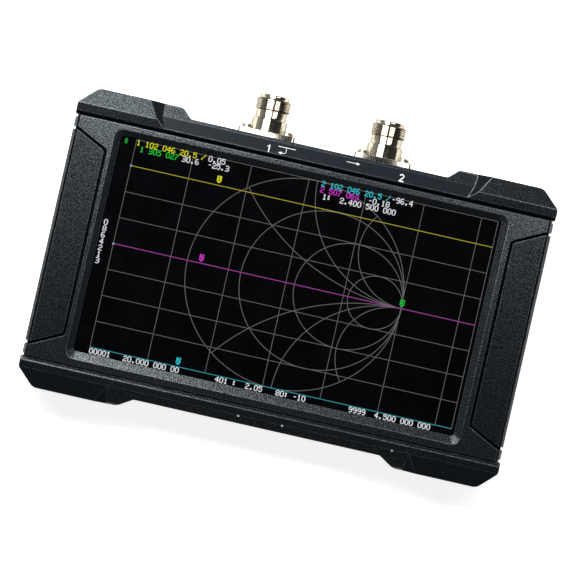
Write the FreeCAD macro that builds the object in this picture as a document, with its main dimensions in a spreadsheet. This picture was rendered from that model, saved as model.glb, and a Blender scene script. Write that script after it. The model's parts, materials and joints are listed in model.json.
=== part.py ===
"""Bench-top antenna analyzer: a flat instrument with a large touch screen and two coaxial ports.

It lies on its back. +X is to the right along the long side, +Y points to the ports and +Z points
out of the screen. The origin is the centre of the rear face. All sizes are in millimetres.

The case is two channel-shaped shells, front and rear, closed at both ends by end caps with raised
corner bumpers. Rubber grips lie in recesses of the front shell and wrap round its long sides.
"""
import FreeCAD, Part
import math
import os
import re

import Sketcher

# Driving sizes. Each one is a cell of the spreadsheet.
SIZES = {
    # Case
    "case_width": 215.4,
    "case_thickness": 32.0,
    "case_length": 109.2,
    "split_height": 16.0,
    "side_wall": 3.4,
    "front_wall": 3.0,
    "rear_wall": 2.5,
    "rear_bevel": 2.5,
    "face_width": 210.8,
    "band_groove_width": 1.1,
    "band_groove_depth": 0.8,
    "band_drop": 0.5,
    "band_fall": 1.8,
    "tongue_height": 1.2,
    "tongue_thickness": 1.4,
    "fit_gap": 0.05,
    "notch_length": 1.8,
    "notch_inset": 0.9,
    "seam_groove_width": 0.6,
    "seam_groove_depth": 1.0,
    # Screen window
    "rim_width": 177.5,
    "rim_depth": 103.1,
    "rim_x": -0.35,
    "rim_y": 0.45,
    "rim_corner": 3.8,
    "window_width": 171.6,
    "window_depth": 97.2,
    "window_x": -0.5,
    "window_y": 1.0,
    "window_corner": 1.5,
    "bezel_depth": 2.0,
    # Grips
    "grip_thickness": 1.4,
    "grip_inner_x": 92.1,
    "grip_inner_half": 41.0,
    "grip_outer_half": 47.6,
    "grip_groove": 1.4,
    "grip_corner": 2.0,
    # End caps
    "cap_width": 216.0,
    "edge_reach": 63.0,
    "bumper_reach": 67.4,
    "cap_wall": 2.6,
    "cap_roof": 27.8,
    "cap_rear_bevel": 3.0,
    "cap_groove_width": 1.0,
    "cap_groove_depth": 1.0,
    "corner_chamfer": 7.9,
    "corner_round": 4.5,
    "rim_bevel_width": 0.6,
    "rim_bevel_height": 1.1,
    "bumper_inner_x": 62.5,
    "bumper_round": 2.5,
    "flank_run": 4.6,
    "flank_round": 2.0,
    "step_slope": 45.0,
    # Top cap facets
    "top_ridge_y": 59.6,
    "top_ridge_rise": 0.7,
    "top_corner_fall": 2.4,
    "top_corner_start": 0.2,
    "top_band_y": 61.7,
    "top_band_fall": 2.3,
    "top_band_start": 0.15,
    "top_facet_fall": 6.0,
    "top_step_inner_x": 69.3,
    "top_step_outer_x": 80.9,
    # Bottom cap facets
    "bottom_ridge_y": 59.3,
    "bottom_ridge_rise": -0.5,
    "bottom_corner_fall": 2.6,
    "bottom_corner_start": -0.1,
    "bottom_band_fall": 0.55,
    "bottom_band_start": -0.15,
    "bottom_facet_fall": 7.0,
    "bottom_step_inner_x": 70.0,
    "bottom_step_outer_x": 78.4,
    "bottom_flank_run": 7.0,
    "bottom_bumper_round": 6.0,
    # Display stack
    "gasket_thickness": 0.4,
    "gasket_overhang": 1.2,
    "glass_width": 176.0,
    "glass_depth": 101.6,
    "glass_corner": 2.0,
    "glass_thickness": 1.1,
    "panel_thickness": 5.0,
    "panel_inset": 1.0,
    "bracket_thickness": 0.8,
    "bracket_half_width": 94.4,
    "bracket_half_depth": 44.0,
    "bracket_rib": 6.0,
    "bracket_border": 8.0,
    "bracket_post_x": 91.4,
    "bracket_post_y": 30.0,
    "bracket_post_size": 5.0,
    # Posts and screws
    "post_x": 98.3,
    "post_y": 40.0,
    "boss_foot": 15.0,
    "case_screw_bite": 8.0,
    "screw_radius": 1.25,
    "screw_play": 0.2,
    "screw_head_radius": 2.3,
    "screw_head_height": 1.6,
    "tower_size": 6.4,
    "head_recess_radius": 2.8,
    "head_recess_depth": 2.0,
    "pilot_radius": 1.3,
    "short_screw_length": 5.0,
    # Cap screws
    "cap_screw_x": 92.0,
    "cap_screw_z": 9.0,
    "cap_boss_size": 8.0,
    "cap_screw_seat": 62.0,
    "cap_screw_length": 14.0,
    "end_block_width": 9.0,
    "end_block_length": 10.0,
    "end_block_top": 13.0,
    # Ports
    "port_1_x": -24.2,
    "port_2_x": 28.2,
    "port_height": 15.6,
    "flange_size": 25.4,
    "flange_thickness": 2.2,
    "flange_corner": 1.2,
    "flange_hole_spacing": 18.26,
    "flange_hole_radius": 1.6,
    "barrel_radius": 7.95,
    "barrel_length": 8.0,
    "neck_radius": 7.0,
    "neck_end": 11.8,
    "thread_radius": 7.94,
    "thread_end": 17.0,
    "lead_radius": 6.6,
    "lead_bevel": 0.6,
    "mouth_reach": 19.0,
    "mouth_radius": 4.025,
    "tail_radius": 4.75,
    "tail_length": 3.5,
    "insulator_front": 9.5,
    "contact_radius": 1.52,
    "contact_tip": 13.8,
    "contact_socket_radius": 0.82,
    "contact_socket_depth": 3.5,
    "pin_radius": 0.65,
    "pin_end": 12.0,
    "port_screw_radius": 1.45,
    "port_head_radius": 2.75,
    "port_head_height": 1.9,
    "port_screw_length": 8.2,
    "nut_across_corners": 6.35,
    "nut_height": 2.4,
    # Main board and what it carries
    "board_thickness": 1.6,
    "board_half_width": 66.0,
    "board_top_y": 53.0,
    "board_bottom_y": -60.1,
    "board_post_x": 60.0,
    "board_post_y": 40.0,
    "can_width": 36.0,
    "can_depth": 26.0,
    "can_height": 4.0,
    "can_sheet": 0.4,
    "can_y": 28.0,
    "lower_can_y": -14.0,
    "chip_size": 12.0,
    "chip_height": 1.2,
    "chip_y": -38.0,
    "chip_spacing": 24.0,
    "led_size": 1.6,
    "led_height": 0.8,
    "ribbon_width": 20.0,
    "ribbon_thickness": 0.25,
    "ribbon_x": 32.0,
    "ribbon_top_y": -20.0,
    "ribbon_fold_y": -34.0,
    "ribbon_foot_y": -29.0,
    # Battery
    "battery_width": 96.0,
    "battery_depth": 64.0,
    "battery_height": 8.0,
    "battery_corner": 3.0,
    "battery_pad_height": 0.8,
    "battery_pad_inset": 3.0,
    # Sockets and controls on the bottom edge
    "slot_play": 0.3,
    "usb_x": 0.9,
    "usb_width": 8.94,
    "usb_height": 3.26,
    "usb_sheet": 0.3,
    "usb_depth": 7.4,
    "usb_mouth_y": 62.6,
    "usb_base": 1.5,
    "usb_tongue_width": 6.7,
    "usb_tongue_height": 0.7,
    "usb_tongue_length": 4.6,
    "card_x": 24.0,
    "card_width": 14.0,
    "card_height": 2.0,
    "card_depth": 13.0,
    "card_slot_width": 11.4,
    "card_slot_height": 1.1,
    "card_slot_length": 11.0,
    "switch_x": 44.0,
    "switch_width": 8.7,
    "switch_depth": 3.4,
    "switch_height": 3.5,
    "slider_width": 2.0,
    "slider_height": 1.5,
    "slider_foot": 1.0,
    "slider_travel": 2.0,
    "slider_reach": 62.8,
    "jog_x": -44.0,
    "jog_width": 10.0,
    "jog_depth": 5.8,
    "jog_height": 4.0,
    "jog_floor": 0.6,
    "jog_bay_width": 8.6,
    "jog_bay_height": 2.45,
    "jog_bay_depth": 5.0,
    "jog_pivot_y": 57.4,
    "carriage_width": 4.0,
    "carriage_depth": 2.4,
    "carriage_thickness": 0.6,
    "jog_pin_radius": 0.6,
    "jog_pin_length": 1.6,
    "lever_thickness": 1.4,
    "lever_hub_radius": 1.3,
    "lever_arm_width": 1.8,
    "lever_tip_width": 3.6,
    "lever_tip_start": 60.9,
    "lever_tip_end": 62.6,
    "lever_window_half": 3.1,
    "light_y": 59.6,
    "light_left_x": -9.0,
    "light_right_x": 10.8,
    "light_power_x": 60.3,
    "light_radius": 0.5,
    "light_gap": 0.25,
}

# Places worked out from the driving sizes. Each one is a formula that the expressions use in full.
PLACES = {
    "case_half": "case_width / 2",
    "face_half": "face_width / 2",
    "inside_half": "case_half - side_wall",
    "seam": "case_length / 2",
    "front_inside": "case_thickness - front_wall",
    "tongue_top": "split_height + tongue_height",
    "grip_floor": "case_thickness - grip_thickness",
    "grip_recess_x": "grip_inner_x - grip_groove",
    "grip_recess_half": "grip_outer_half + grip_groove",
    "grip_recess_inner": "grip_inner_half + grip_groove / 2",
    "cap_half": "cap_width / 2",
    "cap_inside": "edge_reach - cap_wall",
    "cap_inside_half": "cap_half - side_wall",
    "gasket_top": "front_inside",
    "glass_top": "gasket_top - gasket_thickness",
    "panel_top": "glass_top - glass_thickness",
    "panel_bottom": "panel_top - panel_thickness",
    "bracket_bottom": "panel_bottom - bracket_thickness",
    "board_top": "port_height - pin_radius - fit_gap",
    "board_bottom": "board_top - board_thickness",
    "usb_z": "board_top + usb_height / 2",
    "card_z": "board_top + card_height / 2",
    "switch_z": "board_top + switch_height / 2",
    "slider_rest_x": "switch_x - slider_travel / 2",
    "jog_bay_floor": "board_top + jog_floor",
    "carriage_bottom": "jog_bay_floor + fit_gap",
    "lever_bottom": "carriage_bottom + carriage_thickness + fit_gap",
    "lever_z": "lever_bottom + lever_thickness / 2",
    "control_front": "cap_inside - fit_gap * 2",
    "hole_offset": "flange_hole_spacing / 2",
    "shank_hole": "screw_radius + screw_play",
    "light_hole": "light_radius + fit_gap * 2",
}

WORD = re.compile(r"[a-z][a-z_0-9]*")

# Small screws and their holes have this many sides.
FASTENER_SIDES = 12

doc = FreeCAD.newDocument("antenna_analyzer")
sheet = doc.addObject("Spreadsheet::Sheet", "Sizes")
for row, (alias, size) in enumerate(SIZES.items(), start=1):
    sheet.set("A%d" % row, alias)
    sheet.set("B%d" % row, str(size))
    sheet.setAlias("B%d" % row, alias)
doc.recompute()

parts = []


def spelled_out(formula, prefix):
    """Return the formula with every place worked out and every size written as a cell."""
    def swap(match):
        word = match.group()
        if word in PLACES:
            return "(" + spelled_out(PLACES[word], prefix) + ")"
        if word in SIZES:
            return prefix + word
        return word
    return WORD.sub(swap, formula)


def cells(formula):
    return spelled_out(formula, "Sizes.")


def value(formula):
    return sheet.evalExpression(spelled_out(formula, ""))


def bind(thing, **formulas):
    for name, formula in formulas.items():
        thing.setExpression(name, cells(formula))


def place(thing, x="0", y="0", z="0"):
    bind(thing, **{"Placement.Base.x": x, "Placement.Base.y": y, "Placement.Base.z": z})
    return thing


def new_body(label):
    body = doc.addObject("PartDesign::Body", label)
    body.Label = label
    body.AllowCompound = True
    parts.append(body)
    return body


def new_sketch(body, role, name, offset="0"):
    """Return a sketch on one of the body's origin planes, moved by offset along the plane's normal."""
    sketch = body.newObject("Sketcher::SketchObject", name)
    plane = [item for item in body.Origin.OriginFeatures if item.Role == role][0]
    sketch.AttachmentSupport = (plane, "")
    sketch.MapMode = "FlatFace"
    bind(sketch, **{"AttachmentOffset.Base.z": offset})
    return sketch


def constrain(sketch, formula, kind, *where):
    number = sketch.addConstraint(Sketcher.Constraint(kind, *where, value(formula)))
    sketch.setExpression("Constraints[%d]" % number, cells(formula))


def pin_point(sketch, element, point, x, y):
    constrain(sketch, x, "DistanceX", element, point)
    constrain(sketch, y, "DistanceY", element, point)


def circle(sketch, x, y, radius):
    centre = FreeCAD.Vector(value(x), value(y), 0)
    number = sketch.addGeometry(Part.Circle(centre, FreeCAD.Vector(0, 0, 1), value(radius)))
    pin_point(sketch, number, 3, x, y)
    constrain(sketch, radius, "Radius", number)


def screw_hole(sketch, x, y, radius):
    """Draw a hole for a small fastener as a regular polygon, which keeps its facets few."""
    centre = FreeCAD.Vector(value(x), value(y), 0)
    corners = []
    for i in range(FASTENER_SIDES):
        angle = 2 * math.pi * i / FASTENER_SIDES
        corners.append(centre + FreeCAD.Vector(math.cos(angle), math.sin(angle), 0) * value(radius))
    guide = sketch.addGeometry(Part.Circle(centre, FreeCAD.Vector(0, 0, 1), value(radius)), True)
    sides = []
    for i, corner in enumerate(corners):
        sides.append(sketch.addGeometry(Part.LineSegment(corner, corners[(i + 1) % FASTENER_SIDES])))
    for i, side in enumerate(sides):
        sketch.addConstraint(Sketcher.Constraint("Coincident", sides[i - 1], 2, side, 1))
        sketch.addConstraint(Sketcher.Constraint("PointOnObject", side, 1, guide))
        if i:
            sketch.addConstraint(Sketcher.Constraint("Equal", sides[0], side))
    pin_point(sketch, guide, 3, x, y)
    constrain(sketch, radius, "Radius", guide)


def rounded_arc(before, corner, after, radius):
    """Return the arc that rounds a corner and whether the outline turns left there."""
    into = (corner - before).normalize()
    out = (after - corner).normalize()
    reach = radius * math.tan(into.getAngle(out) / 2)
    start = corner - into * reach
    end = corner + out * reach
    left = into.x * out.y - into.y * out.x > 0
    side = FreeCAD.Vector(-into.y, into.x, 0) * (1 if left else -1)
    centre = start + side * radius
    middle = centre + (corner - centre).normalize() * radius
    first, last = (start, end) if left else (end, start)
    return Part.Arc(first, middle, last), start, end, left


def outline(sketch, corners):
    """Draw a closed outline through corners (x, y) or (x, y, radius); a radius rounds the corner."""
    spots = [FreeCAD.Vector(value(corner[0]), value(corner[1]), 0) for corner in corners]
    count = len(corners)
    ends = []
    for i, corner in enumerate(corners):
        if len(corner) == 3:
            ends.append(rounded_arc(spots[i - 1], spots[i], spots[(i + 1) % count], value(corner[2])))
        else:
            ends.append((None, spots[i], spots[i], True))
    lines = []
    for i in range(count):
        line = Part.LineSegment(ends[i][2], ends[(i + 1) % count][1])
        lines.append(sketch.addGeometry(line))
    for i, corner in enumerate(corners):
        before = lines[i - 1]
        after = lines[i]
        if len(corner) == 2:
            sketch.addConstraint(Sketcher.Constraint("Coincident", before, 2, after, 1))
            pin_point(sketch, after, 1, corner[0], corner[1])
            continue
        arc, start, end, left = ends[i]
        number = sketch.addGeometry(arc)
        first, last = (1, 2) if left else (2, 1)
        sketch.addConstraint(Sketcher.Constraint("Tangent", before, 2, number, first))
        sketch.addConstraint(Sketcher.Constraint("Tangent", number, last, after, 1))
        constrain(sketch, corner[2], "Radius", number)
        point = sketch.addGeometry(Part.Point(spots[i]), True)
        pin_point(sketch, point, 1, corner[0], corner[1])
        sketch.addConstraint(Sketcher.Constraint("PointOnObject", point, 1, before))
        sketch.addConstraint(Sketcher.Constraint("PointOnObject", point, 1, after))


def rectangle(sketch, x, y, width, depth, *radius):
    """Draw a rectangle centred on (x, y), with rounded corners if a radius is given."""
    left, right = "%s - (%s) / 2" % (x, width), "%s + (%s) / 2" % (x, width)
    low, high = "%s - (%s) / 2" % (y, depth), "%s + (%s) / 2" % (y, depth)
    outline(sketch, [spot + radius for spot in ((left, low), (right, low), (right, high), (left, high))])


def mirrored(corners):
    """Return the corners of the right half followed by their mirror images, in reverse."""
    left = [("-(%s)" % corner[0],) + tuple(corner[1:]) for corner in reversed(corners)]
    return list(corners) + left


def finish_feature(body, feature):
    doc.recompute()
    if "Up-to-date" not in feature.State:
        raise RuntimeError("%s of %s failed: %s" % (feature.Name, body.Label, feature.State))
    body.Tip = feature
    return feature


def pad(body, sketch, length, both=False, back=False):
    feature = body.newObject("PartDesign::Pad", "Pad")
    feature.Profile = sketch
    feature.Midplane = both
    feature.Reversed = back
    bind(feature, Length=length)
    return finish_feature(body, feature)


def pocket(body, sketch, length=None, both=False, back=False, taper=None):
    """Cut the sketch out of the body; it has to remove material."""
    before = body.Shape.Volume
    feature = body.newObject("PartDesign::Pocket", "Pocket")
    feature.Profile = sketch
    feature.Midplane = both
    feature.Reversed = back
    if length is None:
        feature.Type = "ThroughAll"
    else:
        bind(feature, Length=length)
    if taper is not None:
        bind(feature, TaperAngle=taper)
    finish_feature(body, feature)
    if body.Shape.Volume > before - 1e-6:
        raise RuntimeError("a pocket of %s cuts nothing" % body.Label)
    return feature


def revolve(body, sketch):
    """Turn a half section drawn in the XY plane about the Y axis."""
    feature = body.newObject("PartDesign::Revolution", "Revolution")
    feature.Profile = sketch
    feature.ReferenceAxis = (sketch, ["V_Axis"])
    feature.Angle = 360
    return finish_feature(body, feature)


def plan_block(label, draw, bottom, height):
    """Return a body made of one plan outline, drawn by draw and padded upwards."""
    body = new_body(label)
    sketch = new_sketch(body, "XY_Plane", "plan", bottom)
    draw(sketch)
    pad(body, sketch, height)
    return body


def along_y(body, name, y):
    """Return a sketch that faces -Y at the given place along Y."""
    return new_sketch(body, "XZ_Plane", name, "-(%s)" % y)


def pad_along_y(body, sketch, length, way):
    """Pad a sketch made by along_y towards +Y (way 1) or -Y (way -1)."""
    return pad(body, sketch, length, back=way > 0)


def pocket_along_y(body, sketch, length, way):
    """Cut a sketch made by along_y towards +Y (way 1) or -Y (way -1)."""
    return pocket(body, sketch, length, back=way < 0)


def trim_to_plan(body, corners, level):
    """Cut away everything outside a plan outline."""
    ring = new_sketch(body, "XY_Plane", "plan_trim", level)
    rectangle(ring, "0", "0", "cap_width * 2", "cap_width * 2")
    outline(ring, corners)
    pocket(body, ring, "cap_width", both=True)


# Shells


def cut_end_notches(body):
    """Draw the side walls in a little next to the end caps, which shows as a notch in the outline."""
    sketch = new_sketch(body, "XY_Plane", "end_notches")
    for side in ("1", "-1"):
        for end in ("1", "-1"):
            outline(sketch, [
                ("%s * (case_half + 1)" % side, "%s * (seam - notch_length)" % end),
                ("%s * case_half" % side, "%s * (seam - notch_length)" % end),
                ("%s * (case_half - notch_inset)" % side, "%s * (seam - notch_length / 2)" % end),
                ("%s * (case_half - notch_inset)" % side, "%s * (seam + 1)" % end),
                ("%s * (case_half + 1)" % side, "%s * (seam + 1)" % end),
            ])
    pocket(body, sketch, "case_thickness * 2", both=True)


def post_spots():
    """Return the four places where a case screw joins the shells."""
    return [(x, y) for x in ("-post_x", "post_x") for y in ("-post_y", "post_y")]


def bracket_spots():
    return [(x, y) for x in ("-bracket_post_x", "bracket_post_x")
            for y in ("-bracket_post_y", "bracket_post_y")]


def board_spots():
    return [(x, y) for x in ("-board_post_x", "board_post_x") for y in ("-board_post_y", "board_post_y")]


def cap_screw_spots():
    return [(x, "cap_screw_z") for x in ("-cap_screw_x", "cap_screw_x")]


def screw_holes(sketch, spots, radius):
    for x, y in spots:
        screw_hole(sketch, x, y, radius)


def towers(body, name, spots, size, bottom, height):
    """Pad square screw towers upwards from the level bottom."""
    sketch = new_sketch(body, "XY_Plane", name, bottom)
    for x, y in spots:
        rectangle(sketch, x, y, size, size)
    pad(body, sketch, height)


def bores(body, name, spots, radius, top, depth):
    """Bore screw holes downwards from the level top."""
    sketch = new_sketch(body, "XY_Plane", name, top)
    screw_holes(sketch, spots, radius)
    pocket(body, sketch, depth)


def cut_grip_recesses(body):
    """Sink the beds of both grips into the face and the side walls."""
    for side in ("1", "-1"):
        face = new_sketch(body, "XY_Plane", "grip_bed", "case_thickness")
        inner = "%s * grip_recess_x" % side
        knee = "%s * face_half" % side
        outer = "%s * (case_half + 1)" % side
        outline(face, [
            (inner, "-grip_recess_inner", "grip_corner"),
            (knee, "-grip_recess_half"),
            (outer, "-grip_recess_half"),
            (outer, "grip_recess_half"),
            (knee, "grip_recess_half"),
            (inner, "grip_recess_inner", "grip_corner"),
        ])
        pocket(body, face, "grip_thickness")
        flank = new_sketch(body, "XY_Plane", "grip_side_bed", "case_thickness + 1")
        rectangle(flank, "%s * (case_half + 1 - (grip_thickness + 1) / 2)" % side, "0",
                  "grip_thickness + 1", "grip_recess_half * 2")
        pocket(body, flank, "case_thickness + 1 - split_height")


def cut_screen_window(body):
    """Cut the window and the slope that runs from its rim down to the glass."""
    rim = new_sketch(body, "XY_Plane", "window_rim", "case_thickness")
    rectangle(rim, "rim_x", "rim_y", "rim_width", "rim_depth", "rim_corner")
    foot = new_sketch(body, "XY_Plane", "window_foot", "case_thickness - bezel_depth")
    rectangle(foot, "window_x", "window_y", "window_width", "window_depth", "window_corner")
    slope = body.newObject("PartDesign::SubtractiveLoft", "window_slope")
    slope.Profile = rim
    slope.Sections = [foot]
    slope.Ruled = True
    finish_feature(body, slope)
    opening = new_sketch(body, "XY_Plane", "window_opening", "case_thickness")
    rectangle(opening, "window_x", "window_y", "window_width", "window_depth", "window_corner")
    pocket(body, opening, "front_wall + 1")


def front_shell():
    body = new_body("front_shell")
    section = new_sketch(body, "XZ_Plane", "channel")
    outline(section, mirrored([
        ("inside_half", "front_inside"),
        ("inside_half", "tongue_top + fit_gap"),
        ("inside_half + tongue_thickness + fit_gap", "tongue_top + fit_gap"),
        ("inside_half + tongue_thickness + fit_gap", "split_height"),
        ("case_half", "split_height"),
        ("case_half", "case_thickness - band_drop - band_fall"),
        ("face_half + band_groove_width", "case_thickness - band_drop"),
        ("face_half + band_groove_width / 2", "case_thickness - band_groove_depth"),
        ("face_half", "case_thickness"),
    ]))
    pad(body, section, "case_length", both=True)
    seams = new_sketch(body, "YZ_Plane", "seam_grooves")
    for end in ("1", "-1"):
        outline(seams, [
            ("%s * (seam - seam_groove_width)" % end, "case_thickness"),
            ("%s * seam" % end, "case_thickness - seam_groove_depth"),
            ("%s * (seam + 1)" % end, "case_thickness - seam_groove_depth"),
            ("%s * (seam + 1)" % end, "case_thickness + 1"),
            ("%s * (seam - seam_groove_width)" % end, "case_thickness + 1"),
        ])
    pocket(body, seams, "case_width * 2", both=True)
    cut_end_notches(body)
    cut_grip_recesses(body)
    cut_screen_window(body)
    rise = "front_inside + 0.5"
    towers(body, "case_towers", post_spots(), "tower_size", "boss_foot", rise + " - boss_foot")
    towers(body, "bracket_posts", bracket_spots(), "bracket_post_size", "panel_bottom",
           rise + " - panel_bottom")
    bores(body, "case_pilots", post_spots(), "pilot_radius", "boss_foot + case_screw_bite", "case_screw_bite")
    bores(body, "bracket_pilots", bracket_spots(), "pilot_radius", "panel_bottom + short_screw_length",
          "short_screw_length")


def rear_shell():
    body = new_body("rear_shell")
    section = new_sketch(body, "XZ_Plane", "channel")
    outline(section, mirrored([
        ("inside_half", "rear_wall"),
        ("inside_half", "tongue_top"),
        ("inside_half + tongue_thickness", "tongue_top"),
        ("inside_half + tongue_thickness", "split_height"),
        ("case_half", "split_height"),
        ("case_half", "rear_bevel"),
        ("case_half - rear_bevel", "0"),
    ]))
    pad(body, section, "case_length", both=True)
    cut_end_notches(body)
    floor = "rear_wall - 0.5"
    towers(body, "case_towers", post_spots(), "tower_size", floor, "boss_foot - rear_wall + 0.5")
    towers(body, "board_towers", board_spots(), "tower_size", floor, "board_bottom - rear_wall + 0.5")
    blocks = new_sketch(body, "XY_Plane", "end_blocks", floor)
    for side in ("-1", "1"):
        for end in ("-1", "1"):
            rectangle(blocks, "%s * cap_screw_x" % side, "%s * (seam - end_block_length / 2)" % end,
                      "end_block_width", "end_block_length")
    pad(body, blocks, "end_block_top - rear_wall + 0.5")
    bores(body, "screw_holes", post_spots(), "shank_hole", "boss_foot", "boss_foot")
    bores(body, "head_recesses", post_spots(), "head_recess_radius", "head_recess_depth", "head_recess_depth")
    bores(body, "board_pilots", board_spots(), "pilot_radius", "board_bottom", "short_screw_length")
    for end in (1, -1):
        pilots = along_y(body, "cap_pilots", "%d * seam" % end)
        screw_holes(pilots, cap_screw_spots(), "pilot_radius")
        pocket_along_y(body, pilots, "cap_screw_length - cap_screw_seat + seam", -end)


def grip(label, side):
    """Make one rubber inlay: an angle strip that covers the face and the side, with slanted ends."""
    body = new_body(label)
    section = new_sketch(body, "XZ_Plane", "angle")
    corners = [
        ("grip_inner_x", "grip_floor"),
        ("case_half - grip_thickness", "grip_floor"),
        ("case_half - grip_thickness", "split_height"),
        ("case_half", "split_height"),
        ("case_half", "case_thickness - band_drop - band_fall"),
        ("face_half + band_groove_width", "case_thickness - band_drop"),
        ("face_half + band_groove_width / 2", "case_thickness - band_groove_depth"),
        ("face_half", "case_thickness"),
        ("grip_inner_x", "case_thickness"),
    ]
    outline(section, [("%s * (%s)" % (side, x), z) for x, z in corners])
    pad(body, section, "grip_outer_half * 2", both=True)
    knee = "%s * face_half" % side
    inner = "%s * grip_inner_x" % side
    outer = "%s * (case_half + 1)" % side
    trim_to_plan(body, [
        (inner, "-grip_inner_half", "grip_corner"),
        (knee, "-grip_outer_half"),
        (outer, "-grip_outer_half"),
        (outer, "grip_outer_half"),
        (knee, "grip_outer_half"),
        (inner, "grip_inner_half", "grip_corner"),
    ], "0")


# End caps


def end_cap(label, end, facets):
    """Make an end cap with raised bumpers; end is 1 at the ports and -1 at the controls.

    The raised corner section is padded over the whole width, cut between the diagonal steps with a
    tapered pocket, and the lower middle section is padded through it. The plan outline trims both.
    """
    body = new_body(label)
    top = "case_thickness"
    groove = [
        ("seam + cap_groove_width / 2", top + " - cap_groove_depth"),
        ("seam", top + " - cap_groove_depth"),
    ]
    rear = [
        ("seam", "0"),
        ("bumper_reach - cap_rear_bevel", "0"),
        ("bumper_reach", "cap_rear_bevel"),
    ]
    groove_edge = "seam + seam_groove_width + cap_groove_width"
    corner_section = rear + [
        ("bumper_reach", "case_thickness + %(corner_rise)s - %(corner_fall)s" % facets),
        (facets["corner_y"], "case_thickness + %(corner_rise)s" % facets),
        (groove_edge, "case_thickness + %(corner_start)s" % facets),
    ] + groove
    facet_slope = "(%(facet_fall)s - %(band_fall)s) / (bumper_reach - %(band_y)s)" % facets
    middle_section = rear + [
        ("bumper_reach", "case_thickness - %s + %s * rim_bevel_width - rim_bevel_height"
         % (facets["facet_fall"], facet_slope)),
        ("bumper_reach - rim_bevel_width", "case_thickness - %s + %s * rim_bevel_width"
         % (facets["facet_fall"], facet_slope)),
        (facets["band_y"], "case_thickness - %(band_fall)s" % facets),
        (groove_edge, "case_thickness + %(band_start)s" % facets),
    ] + groove

    raised = new_sketch(body, "YZ_Plane", "corner_section")
    outline(raised, [("%d * (%s)" % (end, y), z) for y, z in corner_section])
    pad(body, raised, "cap_width", both=True)

    steps = new_sketch(body, "XY_Plane", "diagonal_steps", "case_thickness + 1")
    slope = "((%(step_outer)s) - (%(step_inner)s)) / (bumper_reach - (%(step_y)s))" % facets
    overrun = "case_thickness * 2"
    near = "%s - (%s) * (%s)" % (facets["step_inner"], slope, overrun)
    far = "%s + (%s) * (%s)" % (facets["step_outer"], slope, overrun)
    outline(steps, mirrored([
        (near, "%d * (%s - (%s))" % (end, facets["step_y"], overrun)),
        (far, "%d * (bumper_reach + %s)" % (end, overrun)),
    ]))
    pocket(body, steps, "case_thickness + 2", taper="-step_slope")

    middle = new_sketch(body, "YZ_Plane", "middle_section")
    outline(middle, [("%d * (%s)" % (end, y), z) for y, z in middle_section])
    pad(body, middle, "cap_width", both=True)

    plan = mirrored([
        ("cap_half", "%d * (seam - 1)" % end),
        ("cap_half", "%d * (bumper_reach - corner_chamfer)" % end, "bumper_round"),
        ("cap_half - corner_chamfer", "%d * bumper_reach" % end, "corner_round"),
        ("bumper_inner_x", "%d * bumper_reach" % end, facets["flank_outer_round"]),
        ("bumper_inner_x - %(flank_run)s" % facets, "%d * edge_reach" % end, "flank_round"),
    ])
    trim_to_plan(body, plan, "0")

    cavity = along_y(body, "cavity", "%d * (seam - 1)" % end)
    rectangle(cavity, "0", "(cap_roof + rear_wall) / 2", "cap_inside_half * 2", "cap_roof - rear_wall")
    pocket_along_y(body, cavity, "cap_inside - seam + 1", end)
    bosses = along_y(body, "screw_bosses", "%d * seam" % end)
    for x, z in cap_screw_spots():
        rectangle(bosses, x, z, "cap_boss_size", "cap_boss_size")
    pad_along_y(body, bosses, "cap_inside - seam + 0.5", end)
    holes = along_y(body, "screw_holes", "%d * (seam - 1)" % end)
    screw_holes(holes, cap_screw_spots(), "shank_hole")
    pocket_along_y(body, holes, "bumper_reach - seam + 2", end)
    heads = along_y(body, "head_recesses", "%d * cap_screw_seat" % end)
    screw_holes(heads, cap_screw_spots(), "head_recess_radius")
    pocket_along_y(body, heads, "bumper_reach - cap_screw_seat + 1", end)
    return body


def port_screw_spots(port_x):
    return [("%s + %s * hole_offset" % (port_x, across), "port_height + %s * hole_offset" % up)
            for across in ("-1", "1") for up in ("-1", "1")]


def top_cap():
    body = end_cap("top_cap", 1, {
        "corner_y": "top_ridge_y",
        "corner_rise": "top_ridge_rise",
        "corner_fall": "top_corner_fall",
        "corner_start": "top_corner_start",
        "band_y": "top_band_y",
        "band_fall": "top_band_fall",
        "band_start": "top_band_start",
        "facet_fall": "top_facet_fall",
        "step_inner": "top_step_inner_x",
        "step_outer": "top_step_outer_x",
        "step_y": "seam + seam_groove_width + cap_groove_width",
        "flank_run": "flank_run",
        "flank_outer_round": "bumper_round",
    })
    ports = along_y(body, "port_holes", "cap_inside - 1")
    for port_x in ("port_1_x", "port_2_x"):
        circle(ports, port_x, "port_height", "tail_radius + fit_gap * 2")
        screw_holes(ports, port_screw_spots(port_x), "flange_hole_radius")
    pocket_along_y(body, ports, "cap_wall + 2", 1)


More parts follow.
